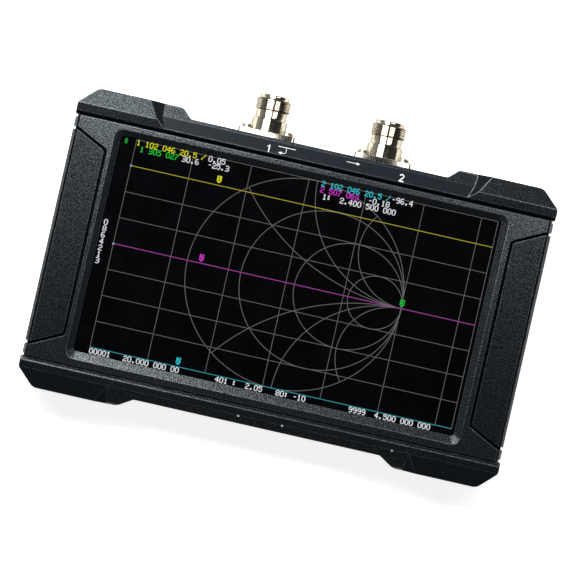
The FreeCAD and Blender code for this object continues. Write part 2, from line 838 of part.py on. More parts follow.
def bottom_cap():
    body = end_cap("bottom_cap", -1, {
        "corner_y": "bottom_ridge_y",
        "corner_rise": "bottom_ridge_rise",
        "corner_fall": "bottom_corner_fall",
        "corner_start": "bottom_corner_start",
        "band_y": "bottom_ridge_y",
        "band_fall": "bottom_band_fall",
        "band_start": "bottom_band_start",
        "facet_fall": "bottom_facet_fall",
        "step_inner": "bottom_step_inner_x",
        "step_outer": "bottom_step_outer_x",
        "step_y": "bottom_ridge_y",
        "flank_run": "bottom_flank_run",
        "flank_outer_round": "bottom_bumper_round",
    })
    slots = along_y(body, "control_slots", "-(cap_inside - 1)")
    rectangle(slots, "usb_x", "usb_z", "usb_width + slot_play * 2", "usb_height + slot_play * 2",
              "usb_height / 2")
    rectangle(slots, "card_x", "card_z", "card_slot_width + slot_play * 2",
              "card_slot_height + slot_play * 2")
    rectangle(slots, "switch_x", "switch_z", "slider_width + slider_travel + slot_play * 2",
              "slider_height + slot_play * 2")
    rectangle(slots, "jog_x", "lever_z", "lever_window_half * 2", "lever_thickness + slot_play * 4",
              "slot_play")
    pocket_along_y(body, slots, "cap_wall + 2", -1)
    lights = new_sketch(body, "XY_Plane", "light_holes", "case_thickness + 1")
    for x in ("light_left_x", "light_right_x", "light_power_x"):
        screw_hole(lights, x, "-light_y", "light_hole")
    pocket(body, lights, "case_thickness + 2 - cap_roof")


# Display stack


def display_gasket():
    def draw(sketch):
        rectangle(sketch, "window_x", "window_y", "glass_width", "glass_depth", "glass_corner")
        rectangle(sketch, "window_x", "window_y", "window_width + gasket_overhang",
                  "window_depth + gasket_overhang", "window_corner")
    plan_block("display_gasket", draw, "glass_top", "gasket_thickness")


def touch_glass():
    def draw(sketch):
        rectangle(sketch, "window_x", "window_y", "glass_width", "glass_depth", "glass_corner")
    plan_block("touch_glass", draw, "panel_top", "glass_thickness")


def display_panel():
    def draw(sketch):
        rectangle(sketch, "window_x", "window_y", "glass_width - panel_inset", "glass_depth - panel_inset",
                  "glass_corner / 2")
    plan_block("display_panel", draw, "panel_bottom", "panel_thickness")


def display_bracket():
    """Make the stamped frame that holds the panel: a plate with four windows and four screw holes."""
    def draw(sketch):
        rectangle(sketch, "0", "0", "bracket_half_width * 2", "bracket_half_depth * 2")
        width = "bracket_half_width - bracket_border - bracket_rib / 2"
        depth = "bracket_half_depth - bracket_border - bracket_rib / 2"
        for x in ("-1", "1"):
            for y in ("-1", "1"):
                rectangle(sketch, "%s * (bracket_rib / 2 + (%s) / 2)" % (x, width),
                          "%s * (bracket_rib / 2 + (%s) / 2)" % (y, depth), width, depth)
        screw_holes(sketch, bracket_spots(), "shank_hole")
    plan_block("display_bracket", draw, "bracket_bottom", "bracket_thickness")


def display_ribbon():
    """Make the flat flexible lead that folds from the panel's back down to the main board."""
    body = new_body("display_ribbon")
    section = new_sketch(body, "YZ_Plane", "fold", "ribbon_x")
    fold = "ribbon_fold_y"
    sheet_edge = "ribbon_thickness"
    outline(section, [
        ("ribbon_top_y", "panel_bottom"),
        (fold, "panel_bottom"),
        (fold, "board_top"),
        ("ribbon_foot_y", "board_top"),
        ("ribbon_foot_y", "board_top + " + sheet_edge),
        (fold + " + " + sheet_edge, "board_top + " + sheet_edge),
        (fold + " + " + sheet_edge, "panel_bottom - " + sheet_edge),
        ("ribbon_top_y", "panel_bottom - " + sheet_edge),
    ])
    pad(body, section, "ribbon_width", both=True)


# Electronics


def main_board():
    def draw(sketch):
        rectangle(sketch, "0", "(board_top_y + board_bottom_y) / 2", "board_half_width * 2",
                  "board_top_y - board_bottom_y")
        screw_holes(sketch, board_spots(), "shank_hole")
    plan_block("main_board", draw, "board_bottom", "board_thickness")


def shield_cans():
    spots = (("port_1_x", "can_y"), ("port_2_x", "can_y"), ("0", "lower_can_y"))

    def draw(sketch):
        for x, y in spots:
            rectangle(sketch, x, y, "can_width", "can_depth")
    body = plan_block("shield_cans", draw, "board_top", "can_height")
    inside = new_sketch(body, "XY_Plane", "inside", "board_top")
    for x, y in spots:
        rectangle(inside, x, y, "can_width - can_sheet * 2", "can_depth - can_sheet * 2")
    pocket(body, inside, "can_height - can_sheet", back=True)


def board_chips():
    def draw(sketch):
        for x in ("-chip_spacing", "0"):
            rectangle(sketch, x, "chip_y", "chip_size", "chip_size")
        rectangle(sketch, "-chip_spacing * 2", "lower_can_y", "chip_size", "chip_size")
    plan_block("board_chips", draw, "board_top", "chip_height")


def status_leds():
    def draw(sketch):
        for x in ("light_left_x", "light_right_x", "light_power_x"):
            rectangle(sketch, x, "-(light_y - led_size / 4)", "led_size", "led_size / 2")
    plan_block("status_leds", draw, "board_top", "led_height")


def light_pipes():
    def draw(sketch):
        for x in ("light_left_x", "light_right_x", "light_power_x"):
            screw_hole(sketch, x, "-light_y", "light_radius")
    bottom = "board_top + led_height + light_gap"
    slope = "(bottom_facet_fall - bottom_band_fall) / (bumper_reach - bottom_ridge_y)"
    top = "case_thickness - bottom_band_fall - (light_y - bottom_ridge_y) * %s" % slope
    plan_block("light_pipes", draw, bottom, "%s - (%s)" % (top, bottom))


def battery():
    def draw_pad(sketch):
        rectangle(sketch, "0", "0", "battery_width - battery_pad_inset * 2",
                  "battery_depth - battery_pad_inset * 2")

    def draw_pack(sketch):
        rectangle(sketch, "0", "0", "battery_width", "battery_depth", "battery_corner")
    plan_block("battery_pad", draw_pad, "rear_wall", "battery_pad_height")
    plan_block("battery_pack", draw_pack, "rear_wall + battery_pad_height", "battery_height")


# Ports


def port_shell(number):
    """Make a panel socket: a turned barrel with neck, thread and lead on a square four-hole flange."""
    body = new_body("port_%d_shell" % number)
    place(body, "port_%d_x" % number, "edge_reach", "port_height")
    barrel = new_sketch(body, "XY_Plane", "barrel")
    outline(barrel, [
        ("mouth_radius", "mouth_reach"),
        ("lead_radius - lead_bevel", "mouth_reach"),
        ("lead_radius", "mouth_reach - lead_bevel"),
        ("lead_radius", "thread_end"),
        ("thread_radius", "thread_end"),
        ("thread_radius", "neck_end"),
        ("neck_radius", "neck_end"),
        ("neck_radius", "barrel_length"),
        ("barrel_radius", "barrel_length"),
        ("barrel_radius", "0"),
        ("tail_radius", "0"),
        ("tail_radius", "-tail_length"),
        ("mouth_radius", "-tail_length"),
    ])
    revolve(body, barrel)
    flange = new_sketch(body, "XZ_Plane", "flange")
    rectangle(flange, "0", "0", "flange_size", "flange_size", "flange_corner")
    circle(flange, "0", "0", "(barrel_radius + tail_radius) / 2")
    for x in ("-hole_offset", "hole_offset"):
        for z in ("-hole_offset", "hole_offset"):
            screw_hole(flange, x, z, "flange_hole_radius")
    pad_along_y(body, flange, "flange_thickness", 1)


def port_insulator(number):
    body = new_body("port_%d_insulator" % number)
    place(body, "port_%d_x" % number, "edge_reach", "port_height")
    bush = along_y(body, "bush", "-tail_length")
    circle(bush, "0", "0", "mouth_radius - fit_gap")
    screw_hole(bush, "0", "0", "contact_radius + fit_gap * 2")
    pad_along_y(body, bush, "insulator_front + tail_length", 1)


def port_contact(number):
    """Make the centre contact: a slim pin to the board, a thick front and the socket for a plug's pin."""
    body = new_body("port_%d_contact" % number)
    place(body, "port_%d_x" % number, "edge_reach", "port_height")
    pin = along_y(body, "pin", "-pin_end")
    screw_hole(pin, "0", "0", "pin_radius")
    pad_along_y(body, pin, "pin_end", 1)
    front = along_y(body, "front", "-tail_length")
    screw_hole(front, "0", "0", "contact_radius")
    pad_along_y(body, front, "contact_tip + tail_length", 1)
    socket = along_y(body, "socket", "contact_tip")
    screw_hole(socket, "0", "0", "contact_socket_radius")
    pocket_along_y(body, socket, "contact_socket_depth", -1)


# Sockets and controls


def usb_socket():
    """Make the rounded tube of the charging socket, open at the edge of the case."""
    body = new_body("usb_socket")
    tube = along_y(body, "tube", "-usb_mouth_y")
    rectangle(tube, "usb_x", "usb_z", "usb_width", "usb_height", "usb_height / 2 - fit_gap")
    rectangle(tube, "usb_x", "usb_z", "usb_width - usb_sheet * 2", "usb_height - usb_sheet * 2",
              "usb_height / 2 - usb_sheet - fit_gap")
    pad_along_y(body, tube, "usb_depth", 1)


def usb_tongue():
    body = new_body("usb_tongue")
    base = along_y(body, "base", "-(usb_mouth_y - usb_depth)")
    inset = "(usb_sheet + fit_gap) * 2"
    rectangle(base, "usb_x", "usb_z", "usb_width - " + inset, "usb_height - " + inset,
              "usb_height / 2 - usb_sheet - fit_gap * 2")
    pad_along_y(body, base, "usb_base", -1)
    tongue = along_y(body, "tongue", "-(usb_mouth_y - usb_depth + usb_base)")
    rectangle(tongue, "usb_x", "usb_z", "usb_tongue_width", "usb_tongue_height")
    pad_along_y(body, tongue, "usb_tongue_length", -1)


def card_socket():
    body = new_body("card_socket")
    case = along_y(body, "case", "-control_front")
    rectangle(case, "card_x", "card_z", "card_width", "card_height")
    pad_along_y(body, case, "card_depth", 1)
    slot = along_y(body, "slot", "-(control_front + 1)")
    rectangle(slot, "card_x", "card_z", "card_slot_width", "card_slot_height")
    pocket_along_y(body, slot, "card_slot_length + 1", 1)


def power_switch():
    body = new_body("power_switch_housing")
    case = along_y(body, "case", "-control_front")
    rectangle(case, "switch_x", "switch_z", "switch_width", "switch_height")
    pad_along_y(body, case, "switch_depth", 1)
    track = along_y(body, "track", "-(control_front + 1)")
    rectangle(track, "switch_x", "switch_z", "slider_width + slider_travel + fit_gap * 4",
              "slider_height + fit_gap * 2")
    pocket_along_y(body, track, "slider_foot + fit_gap + 1", 1)


def power_slider():
    body = new_body("power_slider")
    knob = along_y(body, "knob", "-slider_reach")
    rectangle(knob, "slider_rest_x", "switch_z", "slider_width", "slider_height")
    pad_along_y(body, knob, "slider_reach - control_front + slider_foot", 1)


def jog_housing():
    body = new_body("jog_housing")
    case = along_y(body, "case", "-control_front")
    rectangle(case, "jog_x", "board_top + jog_height / 2", "jog_width", "jog_height")
    pad_along_y(body, case, "jog_depth", 1)
    bay = along_y(body, "bay", "-(control_front + 1)")
    rectangle(bay, "jog_x", "jog_bay_floor + jog_bay_height / 2", "jog_bay_width", "jog_bay_height")
    pocket_along_y(body, bay, "jog_bay_depth + 1", 1)


def jog_carriage():
    """Make the plate that slides in when the lever is pushed, with the lever's pivot pin on it."""
    body = new_body("jog_carriage")
    plate = new_sketch(body, "XY_Plane", "plate", "carriage_bottom")
    rectangle(plate, "jog_x", "-jog_pivot_y", "carriage_width", "carriage_depth")
    pad(body, plate, "carriage_thickness")
    pin = new_sketch(body, "XY_Plane", "pin", "carriage_bottom")
    circle(pin, "jog_x", "-jog_pivot_y", "jog_pin_radius")
    pad(body, pin, "carriage_thickness + jog_pin_length")


def jog_lever():
    """Make the T-shaped lever: a hub round the pin, an arm and a wide tip in the slot of the end wall."""
    body = new_body("jog_lever")
    arm = new_sketch(body, "XY_Plane", "arm", "lever_bottom")
    half_arm = "lever_arm_width / 2"
    half_tip = "lever_tip_width / 2"
    outline(arm, [("jog_x + (%s)" % x, "-(%s)" % y) for x, y in (
        (half_arm, "jog_pivot_y"),
        (half_arm, "lever_tip_start"),
        (half_tip, "lever_tip_start"),
        (half_tip, "lever_tip_end"),
        ("-(%s)" % half_tip, "lever_tip_end"),
        ("-(%s)" % half_tip, "lever_tip_start"),
        ("-(%s)" % half_arm, "lever_tip_start"),
        ("-(%s)" % half_arm, "jog_pivot_y"),
    )])
    pad(body, arm, "lever_thickness")
    hub = new_sketch(body, "XY_Plane", "hub", "lever_bottom")
    circle(hub, "jog_x", "-jog_pivot_y", "lever_hub_radius")
    pad(body, hub, "lever_thickness")
    bores(body, "pin_hole", [("jog_x", "-jog_pivot_y")], "jog_pin_radius + fit_gap",
          "lever_bottom + lever_thickness", "lever_thickness")


# Fasteners, built from primitives


# Each direction turns a prism so that it points along that axis.
TURNS = {
    "+Z": FreeCAD.Rotation(),
    "-Z": FreeCAD.Rotation(FreeCAD.Vector(1, 0, 0), 180),
    "+Y": FreeCAD.Rotation(FreeCAD.Vector(1, 0, 0), -90),
    "-Y": FreeCAD.Rotation(FreeCAD.Vector(1, 0, 0), 90),
}
OPPOSITE = {"+Z": "-Z", "-Z": "+Z", "+Y": "-Y", "-Y": "+Y"}


def turned_prism(name, sides, spot, direction, radius, height):
    prism = doc.addObject("Part::Prism", name)
    prism.Polygon = sides
    prism.Placement = FreeCAD.Placement(FreeCAD.Vector(), TURNS[direction])
    bind(prism, Circumradius=radius, Height=height)
    return place(prism, *spot)


def group(label, members):
    """Put loose solids of one kind into one compound."""
    compound = doc.addObject("Part::Compound", label)
    compound.Label = label
    compound.Links = members
    parts.append(compound)


def screws(label, spots, direction, shank, length, head="screw_head_radius", head_height="screw_head_height"):
    """Make a screw at each spot, the seat of its head; direction is where the head points."""
    members = []
    for spot in spots:
        screw = doc.addObject("Part::MultiFuse", label + "_screw")
        screw.Shapes = [
            turned_prism(label + "_head", FASTENER_SIDES, spot, direction, head, head_height),
            turned_prism(label + "_shank", FASTENER_SIDES, spot, OPPOSITE[direction], shank, length),
        ]
        members.append(screw)
    group(label, members)


def case_fasteners():
    seats = [(x, y, "head_recess_depth") for x, y in post_spots()]
    screws("case_screws", seats, "-Z", "screw_radius",
           "boss_foot + case_screw_bite - head_recess_depth - fit_gap")
    for label, y, direction in (("top_cap_screws", "cap_screw_seat", "+Y"),
                                ("bottom_cap_screws", "-cap_screw_seat", "-Y")):
        spots = [(x, y, z) for x, z in cap_screw_spots()]
        screws(label, spots, direction, "screw_radius", "cap_screw_length - fit_gap")


def port_fasteners():
    spots = port_screw_spots("port_1_x") + port_screw_spots("port_2_x")
    seats = [(x, "edge_reach + flange_thickness", z) for x, z in spots]
    screws("port_screws", seats, "+Y", "port_screw_radius", "port_screw_length", "port_head_radius",
           "port_head_height")
    nuts = []
    for x, z in spots:
        nut = doc.addObject("Part::Cut", "port_nut")
        spot = (x, "cap_inside", z)
        nut.Base = turned_prism("port_nut_hexagon", 6, spot, "-Y", "nut_across_corners / 2", "nut_height")
        nut.Tool = turned_prism("port_nut_hole", FASTENER_SIDES, spot, "-Y", "flange_hole_radius",
                                "nut_height")
        nuts.append(nut)
    group("port_nuts", nuts)


def inner_fasteners():
    below = [(x, y, "bracket_bottom") for x, y in bracket_spots()]
    screws("bracket_screws", below, "-Z", "screw_radius", "short_screw_length")
    above = [(x, y, "board_top") for x, y in board_spots()]
    screws("board_screws", above, "+Z", "screw_radius", "short_screw_length")


def check_document():
    doc.recompute()
    for item in doc.Objects:
        if "Invalid" in item.State or "Error" in item.State:
            raise RuntimeError("%s failed: %s" % (item.Label, item.State))
    for part in parts:
        if part.Shape.isNull() or not part.Shape.isValid() or not part.Shape.Solids:
            raise RuntimeError("%s has no sound solid" % part.Label)


def main():
    front_shell()
    rear_shell()
    grip("right_grip", "1")
    grip("left_grip", "-1")
    top_cap()
    bottom_cap()
    display_gasket()
    touch_glass()
    display_panel()
    display_bracket()
    display_ribbon()
    main_board()
    shield_cans()
    board_chips()
    status_leds()
    light_pipes()
    battery()
    for number in (1, 2):
        port_shell(number)
        port_insulator(number)
        port_contact(number)
    usb_socket()
    usb_tongue()
    card_socket()
    power_switch()
    power_slider()
    jog_housing()
    jog_carriage()
    jog_lever()
    case_fasteners()
    port_fasteners()
    inner_fasteners()
    check_document()
    os.makedirs("parts", exist_ok=True)
    for part in parts:
        part.Shape.exportStep("parts/%s.step" % part.Label)
        print("%s: %d solids, %.1f mm3" % (part.Label, len(part.Shape.Solids), part.Shape.Volume))


main()
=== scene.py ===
"""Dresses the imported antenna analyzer: picture, printed marks, port threads, screws, finishes and studio.

The file is laid out as a Blender add-on. Run as a script, it makes every piece once, in metres, around
the frame.
"""

import json
import math

import bmesh
import bpy
import numpy as np
from bpy.props import FloatProperty, FloatVectorProperty, PointerProperty
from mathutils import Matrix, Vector


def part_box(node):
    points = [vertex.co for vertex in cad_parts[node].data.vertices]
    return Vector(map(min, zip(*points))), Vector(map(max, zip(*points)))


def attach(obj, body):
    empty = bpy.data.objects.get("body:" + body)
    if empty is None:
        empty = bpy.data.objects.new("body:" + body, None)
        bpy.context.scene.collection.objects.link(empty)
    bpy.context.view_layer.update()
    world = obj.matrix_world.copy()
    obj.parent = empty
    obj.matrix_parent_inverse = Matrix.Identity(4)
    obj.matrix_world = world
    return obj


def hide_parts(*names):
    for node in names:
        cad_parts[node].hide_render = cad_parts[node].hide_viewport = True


bl_info = {
    "name": "Antenna analyzer dressing",
    "version": (1, 0, 0),
    "blender": (4, 5, 0),
    "location": "3D View > Sidebar > Analyzer",
    "description": "Dresses the packed antenna analyzer with its picture, marks, threads and finishes",
    "category": "Object",
}

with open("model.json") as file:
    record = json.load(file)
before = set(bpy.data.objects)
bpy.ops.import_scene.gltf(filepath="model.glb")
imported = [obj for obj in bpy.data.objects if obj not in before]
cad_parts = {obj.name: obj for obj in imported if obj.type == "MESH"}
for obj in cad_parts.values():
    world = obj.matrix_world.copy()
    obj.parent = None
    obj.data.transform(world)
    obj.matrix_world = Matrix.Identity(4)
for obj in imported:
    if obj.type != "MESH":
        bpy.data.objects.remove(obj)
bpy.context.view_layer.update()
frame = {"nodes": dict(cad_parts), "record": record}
NODES = frame["nodes"]
MM = 0.001
CASE = "case"
GLASS_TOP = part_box("touch_glass")[1].z
PORTS = ("port_1", "port_2")

# How high the parts of the picture stand on the glass. Parts that cross differ, so no plane is shared.
LEVELS = {
    "grid": 0.020 * MM,
    "chart": 0.025 * MM,
    "trace": 0.030 * MM,
    "tag": 0.035 * MM,
    "tag_digit": 0.045 * MM,
}

# Each character is seven rows of five pixels. The next one starts six pixels on, or eight further down.
FONT = {
    "0": "01110 10001 10001 10001 10001 10001 01110",
    "1": "00100 01100 00100 00100 00100 00100 01110",
    "2": "01110 10001 00001 00110 01000 10000 11111",
    "3": "11110 00001 00001 01110 00001 00001 11110",
    "4": "00010 00110 01010 10010 11111 00010 00010",
    "5": "11111 10000 11110 00001 00001 10001 01110",
    "6": "01110 10000 10000 11110 10001 10001 01110",
    "7": "11111 00001 00010 00100 01000 01000 01000",
    "8": "01110 10001 10001 01110 10001 10001 01110",
    "9": "01110 10001 10001 01111 00001 00001 01110",
    "-": "00000 00000 00000 01110 00000 00000 00000",
    ".": "00000 00000 00000 00000 00000 01100 01100",
    ":": "00000 01100 01100 00000 01100 01100 00000",
    "/": "00001 00001 00010 00100 01000 10000 10000",
    " ": "00000 00000 00000 00000 00000 00000 00000",
}
FONT_ROWS = 7
NEXT_ACROSS = 6
NEXT_DOWN = 8

# Points closer than this are one point, and edges that turn by more than this angle are shaded sharp.
SAME_POINT = 1e-7
SHARP_ANGLE = math.radians(35)

# The colour sockets of a Mix node share their names with others, so they go by number.
MIX_INPUTS = (0, 6, 7)
MIX_RESULT = 2

# Tones of the moulded plastic, as multiples of its own colour. The step tone is painted shade on the end
# caps' steps, the edge tone is wear and a painted highlight, and the groove tone is painted shade in
# grooves.
TONES = {"dark": 0.85, "pale": 1.15, "tip": 1.4, "band": 1.6, "step": 0.6, "wear_and_highlight": 10.0, "groove": 0.1}

# Specular level of the grain's hollows and of smooth parts, and of its tips, as shares of the shine.
HOLLOW_SHINE = 0.15
TIP_SHINE = 1.55
# Specular level on edges, raised as wear and as a painted highlight.
WEAR_HIGHLIGHT_LEVEL = 1.3

# Wear and a painted edge highlight start at the first and are full at the second value of one minus
# (rounded normal . true normal).
EDGE_WEAR_HIGHLIGHT = (0.0006, 0.006)
EDGE_RADIUS = 0.45 * MM

# A place is painted dark as shade where less than the first share around it is open, and plain from the
# second share on.
OPEN_SHARE = (0.62, 0.92)
GROOVE_REACH = 1.6 * MM

# Where the top cap's smooth band and its seam's lip, which is painted dark as shadow, lie along Y. The band
# ends at |x| - y = BAND_MITRE.
BAND = (54.5 * MM, 61.7 * MM)
BAND_MITRE = 12.8 * MM
SEAM_SHADOW = (54.0 * MM, 55.6 * MM)
MASK_EDGE = 0.1 * MM

# A face counts as a step as the X part of its normal grows from the first value to the second.
STEP_LEAN = (0.25, 0.35)


# Surfaces: each is a pair of arrays, its points and its four-sided faces


def grid_faces(rows, columns, close_rows=False, close_columns=False):
    """Join point (r, c) of a grid to (r, c + 1), (r + 1, c + 1) and (r + 1, c)."""
    index = np.arange(rows * columns).reshape(rows, columns)
    if close_rows:
        index = np.vstack([index, index[:1]])
    if close_columns:
        index = np.hstack([index, index[:, :1]])
    corners = [index[:-1, :-1], index[:-1, 1:], index[1:, 1:], index[1:, :-1]]
    return np.stack(corners, axis=-1).reshape(-1, 4)


def joined(surfaces):
    """Put several surfaces into one: points follow each other and faces count on."""
    points = [surface[0].reshape(-1, 3) for surface in surfaces]
    starts = np.cumsum([0] + [len(group) for group in points[:-1]])
    faces = [surface[1] + start for surface, start in zip(surfaces, starts)]
    return np.concatenate(points), np.concatenate(faces)


def flat(level):
    """A carrying surface of one height."""
    return lambda x, y: np.full(np.shape(x), level)


def facet_under(node, x, near, far):
    """The sloping facet of a node: z = z(near) + (y - near) * (z(far) - z(near)) / (far - near)."""
    heights = []
    for y in (near, far):
        hit, spot, _, _ = NODES[node].ray_cast(Vector((x, y, 1)), Vector((0, 0, -1)))
        if not hit:
            raise RuntimeError("no facet of %s under x=%.4f y=%.4f" % (node, x, y))
        heights.append(spot.z)
    slope = (heights[1] - heights[0]) / (far - near)
    return lambda x, y: heights[0] + (y - near) * slope


def tiles(rectangles, carrier, height):
    """Thin boxes: each rectangle (x0, y0, x1, y1) on the carrying surface and again height above it."""
    rectangles = np.asarray(rectangles, float)
    x = rectangles[:, [0, 2, 2, 0]]
    y = rectangles[:, [1, 1, 3, 3]]
    low = carrier(x, y)
    points = np.concatenate([np.stack([x, y, low], -1), np.stack([x, y, low + height], -1)], axis=1)
    sides = np.array([[3, 2, 1, 0], [4, 5, 6, 7], [0, 1, 5, 4], [1, 2, 6, 5], [2, 3, 7, 6], [3, 0, 4, 7]])
    starts = np.arange(len(rectangles)) * points.shape[1]
    faces = starts[:, None, None] + sides
    return points.reshape(-1, 3), faces.reshape(-1, 4)


def ribbon(path, width, carrier, height, closed=False):
    """A thin strip along a path: its edges lie half a width to either side, square to the path."""
    path = np.asarray(path, float)
    ahead = np.roll(path, -1, 0) - np.roll(path, 1, 0) if closed else np.gradient(path, axis=0)
    ahead /= np.linalg.norm(ahead, axis=1, keepdims=True)
    side = np.stack([-ahead[:, 1], ahead[:, 0]], axis=1) * width / 2
    left = path + side
    right = path - side
    corners = []
    for edge, rise in ((left, 0), (right, 0), (right, height), (left, height)):
        corners.append(np.column_stack([edge, carrier(edge[:, 0], edge[:, 1]) + rise]))
    faces = grid_faces(len(path), len(corners), closed, True)
    if not closed:
        last = len(corners) * (len(path) - 1)
        faces = np.vstack([faces, [[0, 1, 2, 3]], [[last + 3, last + 2, last + 1, last]]])
    return np.stack(corners, axis=1).reshape(-1, 3), faces


def turned(profile, count, place, wave):
    """A closed profile (radius, length) turned about Y: (x, z) = r * (cos a, sin a), y = length.

    The wave adds a function of the length and the angle to the radius, as a screw thread does.
    """
    angle = np.arange(count) / count * 2 * math.pi
    radius = np.repeat(profile[:, :1], count, axis=1)
    length = np.repeat(profile[:, 1:], count, axis=1)
    radius = radius + wave(length, angle)
    points = np.stack([radius * np.cos(angle), length, radius * np.sin(angle)], axis=-1)
    return points + np.array(place), grid_faces(len(profile), count, True, True)


def add_piece(name, surface, material, replaced=()):
    """Make one closed mesh piece that rides on the case; doubles go and every face turns outwards."""
    points, faces = surface
    mesh = bpy.data.meshes.new(name)
    mesh.from_pydata(points, [], faces)
    work = bmesh.new()
    work.from_mesh(mesh)
    bmesh.ops.remove_doubles(work, verts=work.verts, dist=SAME_POINT)
    bmesh.ops.dissolve_degenerate(work, edges=work.edges, dist=SAME_POINT / 10)
    bmesh.ops.recalc_face_normals(work, faces=work.faces)
    work.to_mesh(mesh)
    work.free()
    mesh.shade_smooth()
    mesh.set_sharp_from_angle(angle=SHARP_ANGLE)
    mesh.materials.append(material)
    piece = bpy.data.objects.new(name, mesh)
    bpy.context.scene.collection.objects.link(piece)
    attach(piece, CASE)
    if replaced:
        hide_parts(*replaced)


# Finishes


def rgba(colour):
    return (*colour, 1.0)


def start_finish(name):
    """A new material with its node tree, its shader and the place on the object."""
    material = bpy.data.materials.new(name)
    material.use_nodes = True
    tree = material.node_tree
    place = tree.nodes.new("ShaderNodeTexCoord").outputs["Object"]
    return material, tree, tree.nodes["Principled BSDF"], place


def feed(tree, socket, given):
    """Give a socket a value, or link it to another node's output."""
    if isinstance(given, bpy.types.NodeSocket):
        tree.links.new(given, socket)
    else:
        socket.default_value = given


def feed_all(tree, node, **inputs):
    """Feed a node's sockets; each input is named as its socket, with _ for spaces."""
    for name, given in inputs.items():
        feed(tree, node.inputs[name.replace("_", " ")], given)


def add(tree, kind, settings=None, **inputs):
    """Add a shader node with its settings and inputs."""
    made = tree.nodes.new("ShaderNode" + kind)
    for name, setting in (settings or {}).items():
        setattr(made, name, setting)
    feed_all(tree, made, **inputs)
    return made


def maths(tree, operation, *values):
    """Add a Math node and return its result."""
    made = tree.nodes.new("ShaderNodeMath")
    made.operation = operation
    for socket, given in zip(made.inputs, values):
        feed(tree, socket, given)
    return made.outputs[0]


def mixed(tree, factor, first, second):
    """Blend two colours; a factor of zero gives the first and one gives the second."""
    made = tree.nodes.new("ShaderNodeMix")
    made.data_type = "RGBA"
    for number, given in zip(MIX_INPUTS, (factor, first, second)):
        feed(tree, made.inputs[number], given)
    return made.outputs[MIX_RESULT]


def spread(tree, value, low, high, to_low=0.0, to_high=1.0):
    """Carry a value from one range into another, without leaving it."""
    made = add(tree, "MapRange", Value=value, From_Min=low, From_Max=high, To_Min=to_low, To_Max=to_high)
    return made.outputs[0]


def noise(tree, place, size, detail=2.0, roughness=0.55):
    """Noise whose blobs are about size metres wide."""
    made = add(tree, "TexNoise", Vector=place, Scale=1 / size, Detail=detail, Roughness=roughness)
    return made.outputs[0]


def stretched(tree, value, low=0.0, high=1.0):
    """Noise lies mostly between 0.3 and 0.7; stretch it from low to high."""
    return spread(tree, value, 0.3, 0.7, low, high)


def relief(tree, shader, height, depth, edge_radius):
    """Roughen the surface by height and round its edges by edge_radius."""
    rounded = add(tree, "Bevel", {"samples": 4}, Radius=edge_radius).outputs[0]
    bump = add(tree, "Bump", Height=height, Distance=depth, Strength=1.0, Normal=rounded)
    feed_all(tree, shader, Normal=bump.outputs[0])
    return rounded


def edge_mask(tree, rounded):
    """Near an edge the rounded normal leaves the true one; one minus their dot product counts as wear and
    as a painted edge highlight.
    """
    true = add(tree, "NewGeometry").outputs["True Normal"]
    product = tree.nodes.new("ShaderNodeVectorMath")
    product.operation = "DOT_PRODUCT"
    feed(tree, product.inputs[0], rounded)
    feed(tree, product.inputs[1], true)
    return spread(tree, maths(tree, "SUBTRACT", 1.0, product.outputs["Value"]), *EDGE_WEAR_HIGHLIGHT)


def unshaded_share(tree):
    """One on open surfaces, falling to zero deep in a groove or a narrow corner, where the plastic is
    painted dark as shade.
    """
    share = add(tree, "AmbientOcclusion", {"samples": 8}, Distance=GROOVE_REACH).outputs["AO"]
    return spread(tree, share, *OPEN_SHARE)


def below(tree, value, limit):
    """One below the limit and zero above it, with a soft edge."""
    return spread(tree, value, limit - MASK_EDGE, limit + MASK_EDGE, 1.0, 0.0)


def inside(tree, value, low, high):
    """One between low and high and zero outside, with soft edges."""
    rise = spread(tree, value, low - MASK_EDGE, low + MASK_EDGE)
    return maths(tree, "MULTIPLY", rise, below(tree, value, high))


def band_and_seam_shadow(tree, place):
    """Masks on the top cap: its smooth sloping band, with 45 degree mitres, and the lip of its seam, where
    shadow is painted.
    """
    x, y, _ = add(tree, "SeparateXYZ", Vector=place).outputs
    mitre = maths(tree, "SUBTRACT", maths(tree, "ABSOLUTE", x), y)
    band = maths(tree, "MULTIPLY", inside(tree, y, *BAND), below(tree, mitre, BAND_MITRE))
    return band, inside(tree, y, *SEAM_SHADOW)


def step_faces(tree):
    """One on faces that lean to the left or right, as the diagonal steps of an end cap do."""
    normal = add(tree, "NewGeometry").outputs["True Normal"]
    leaning = add(tree, "SeparateXYZ", Vector=normal).outputs[0]
    return spread(tree, maths(tree, "ABSOLUTE", leaning), *STEP_LEAN)


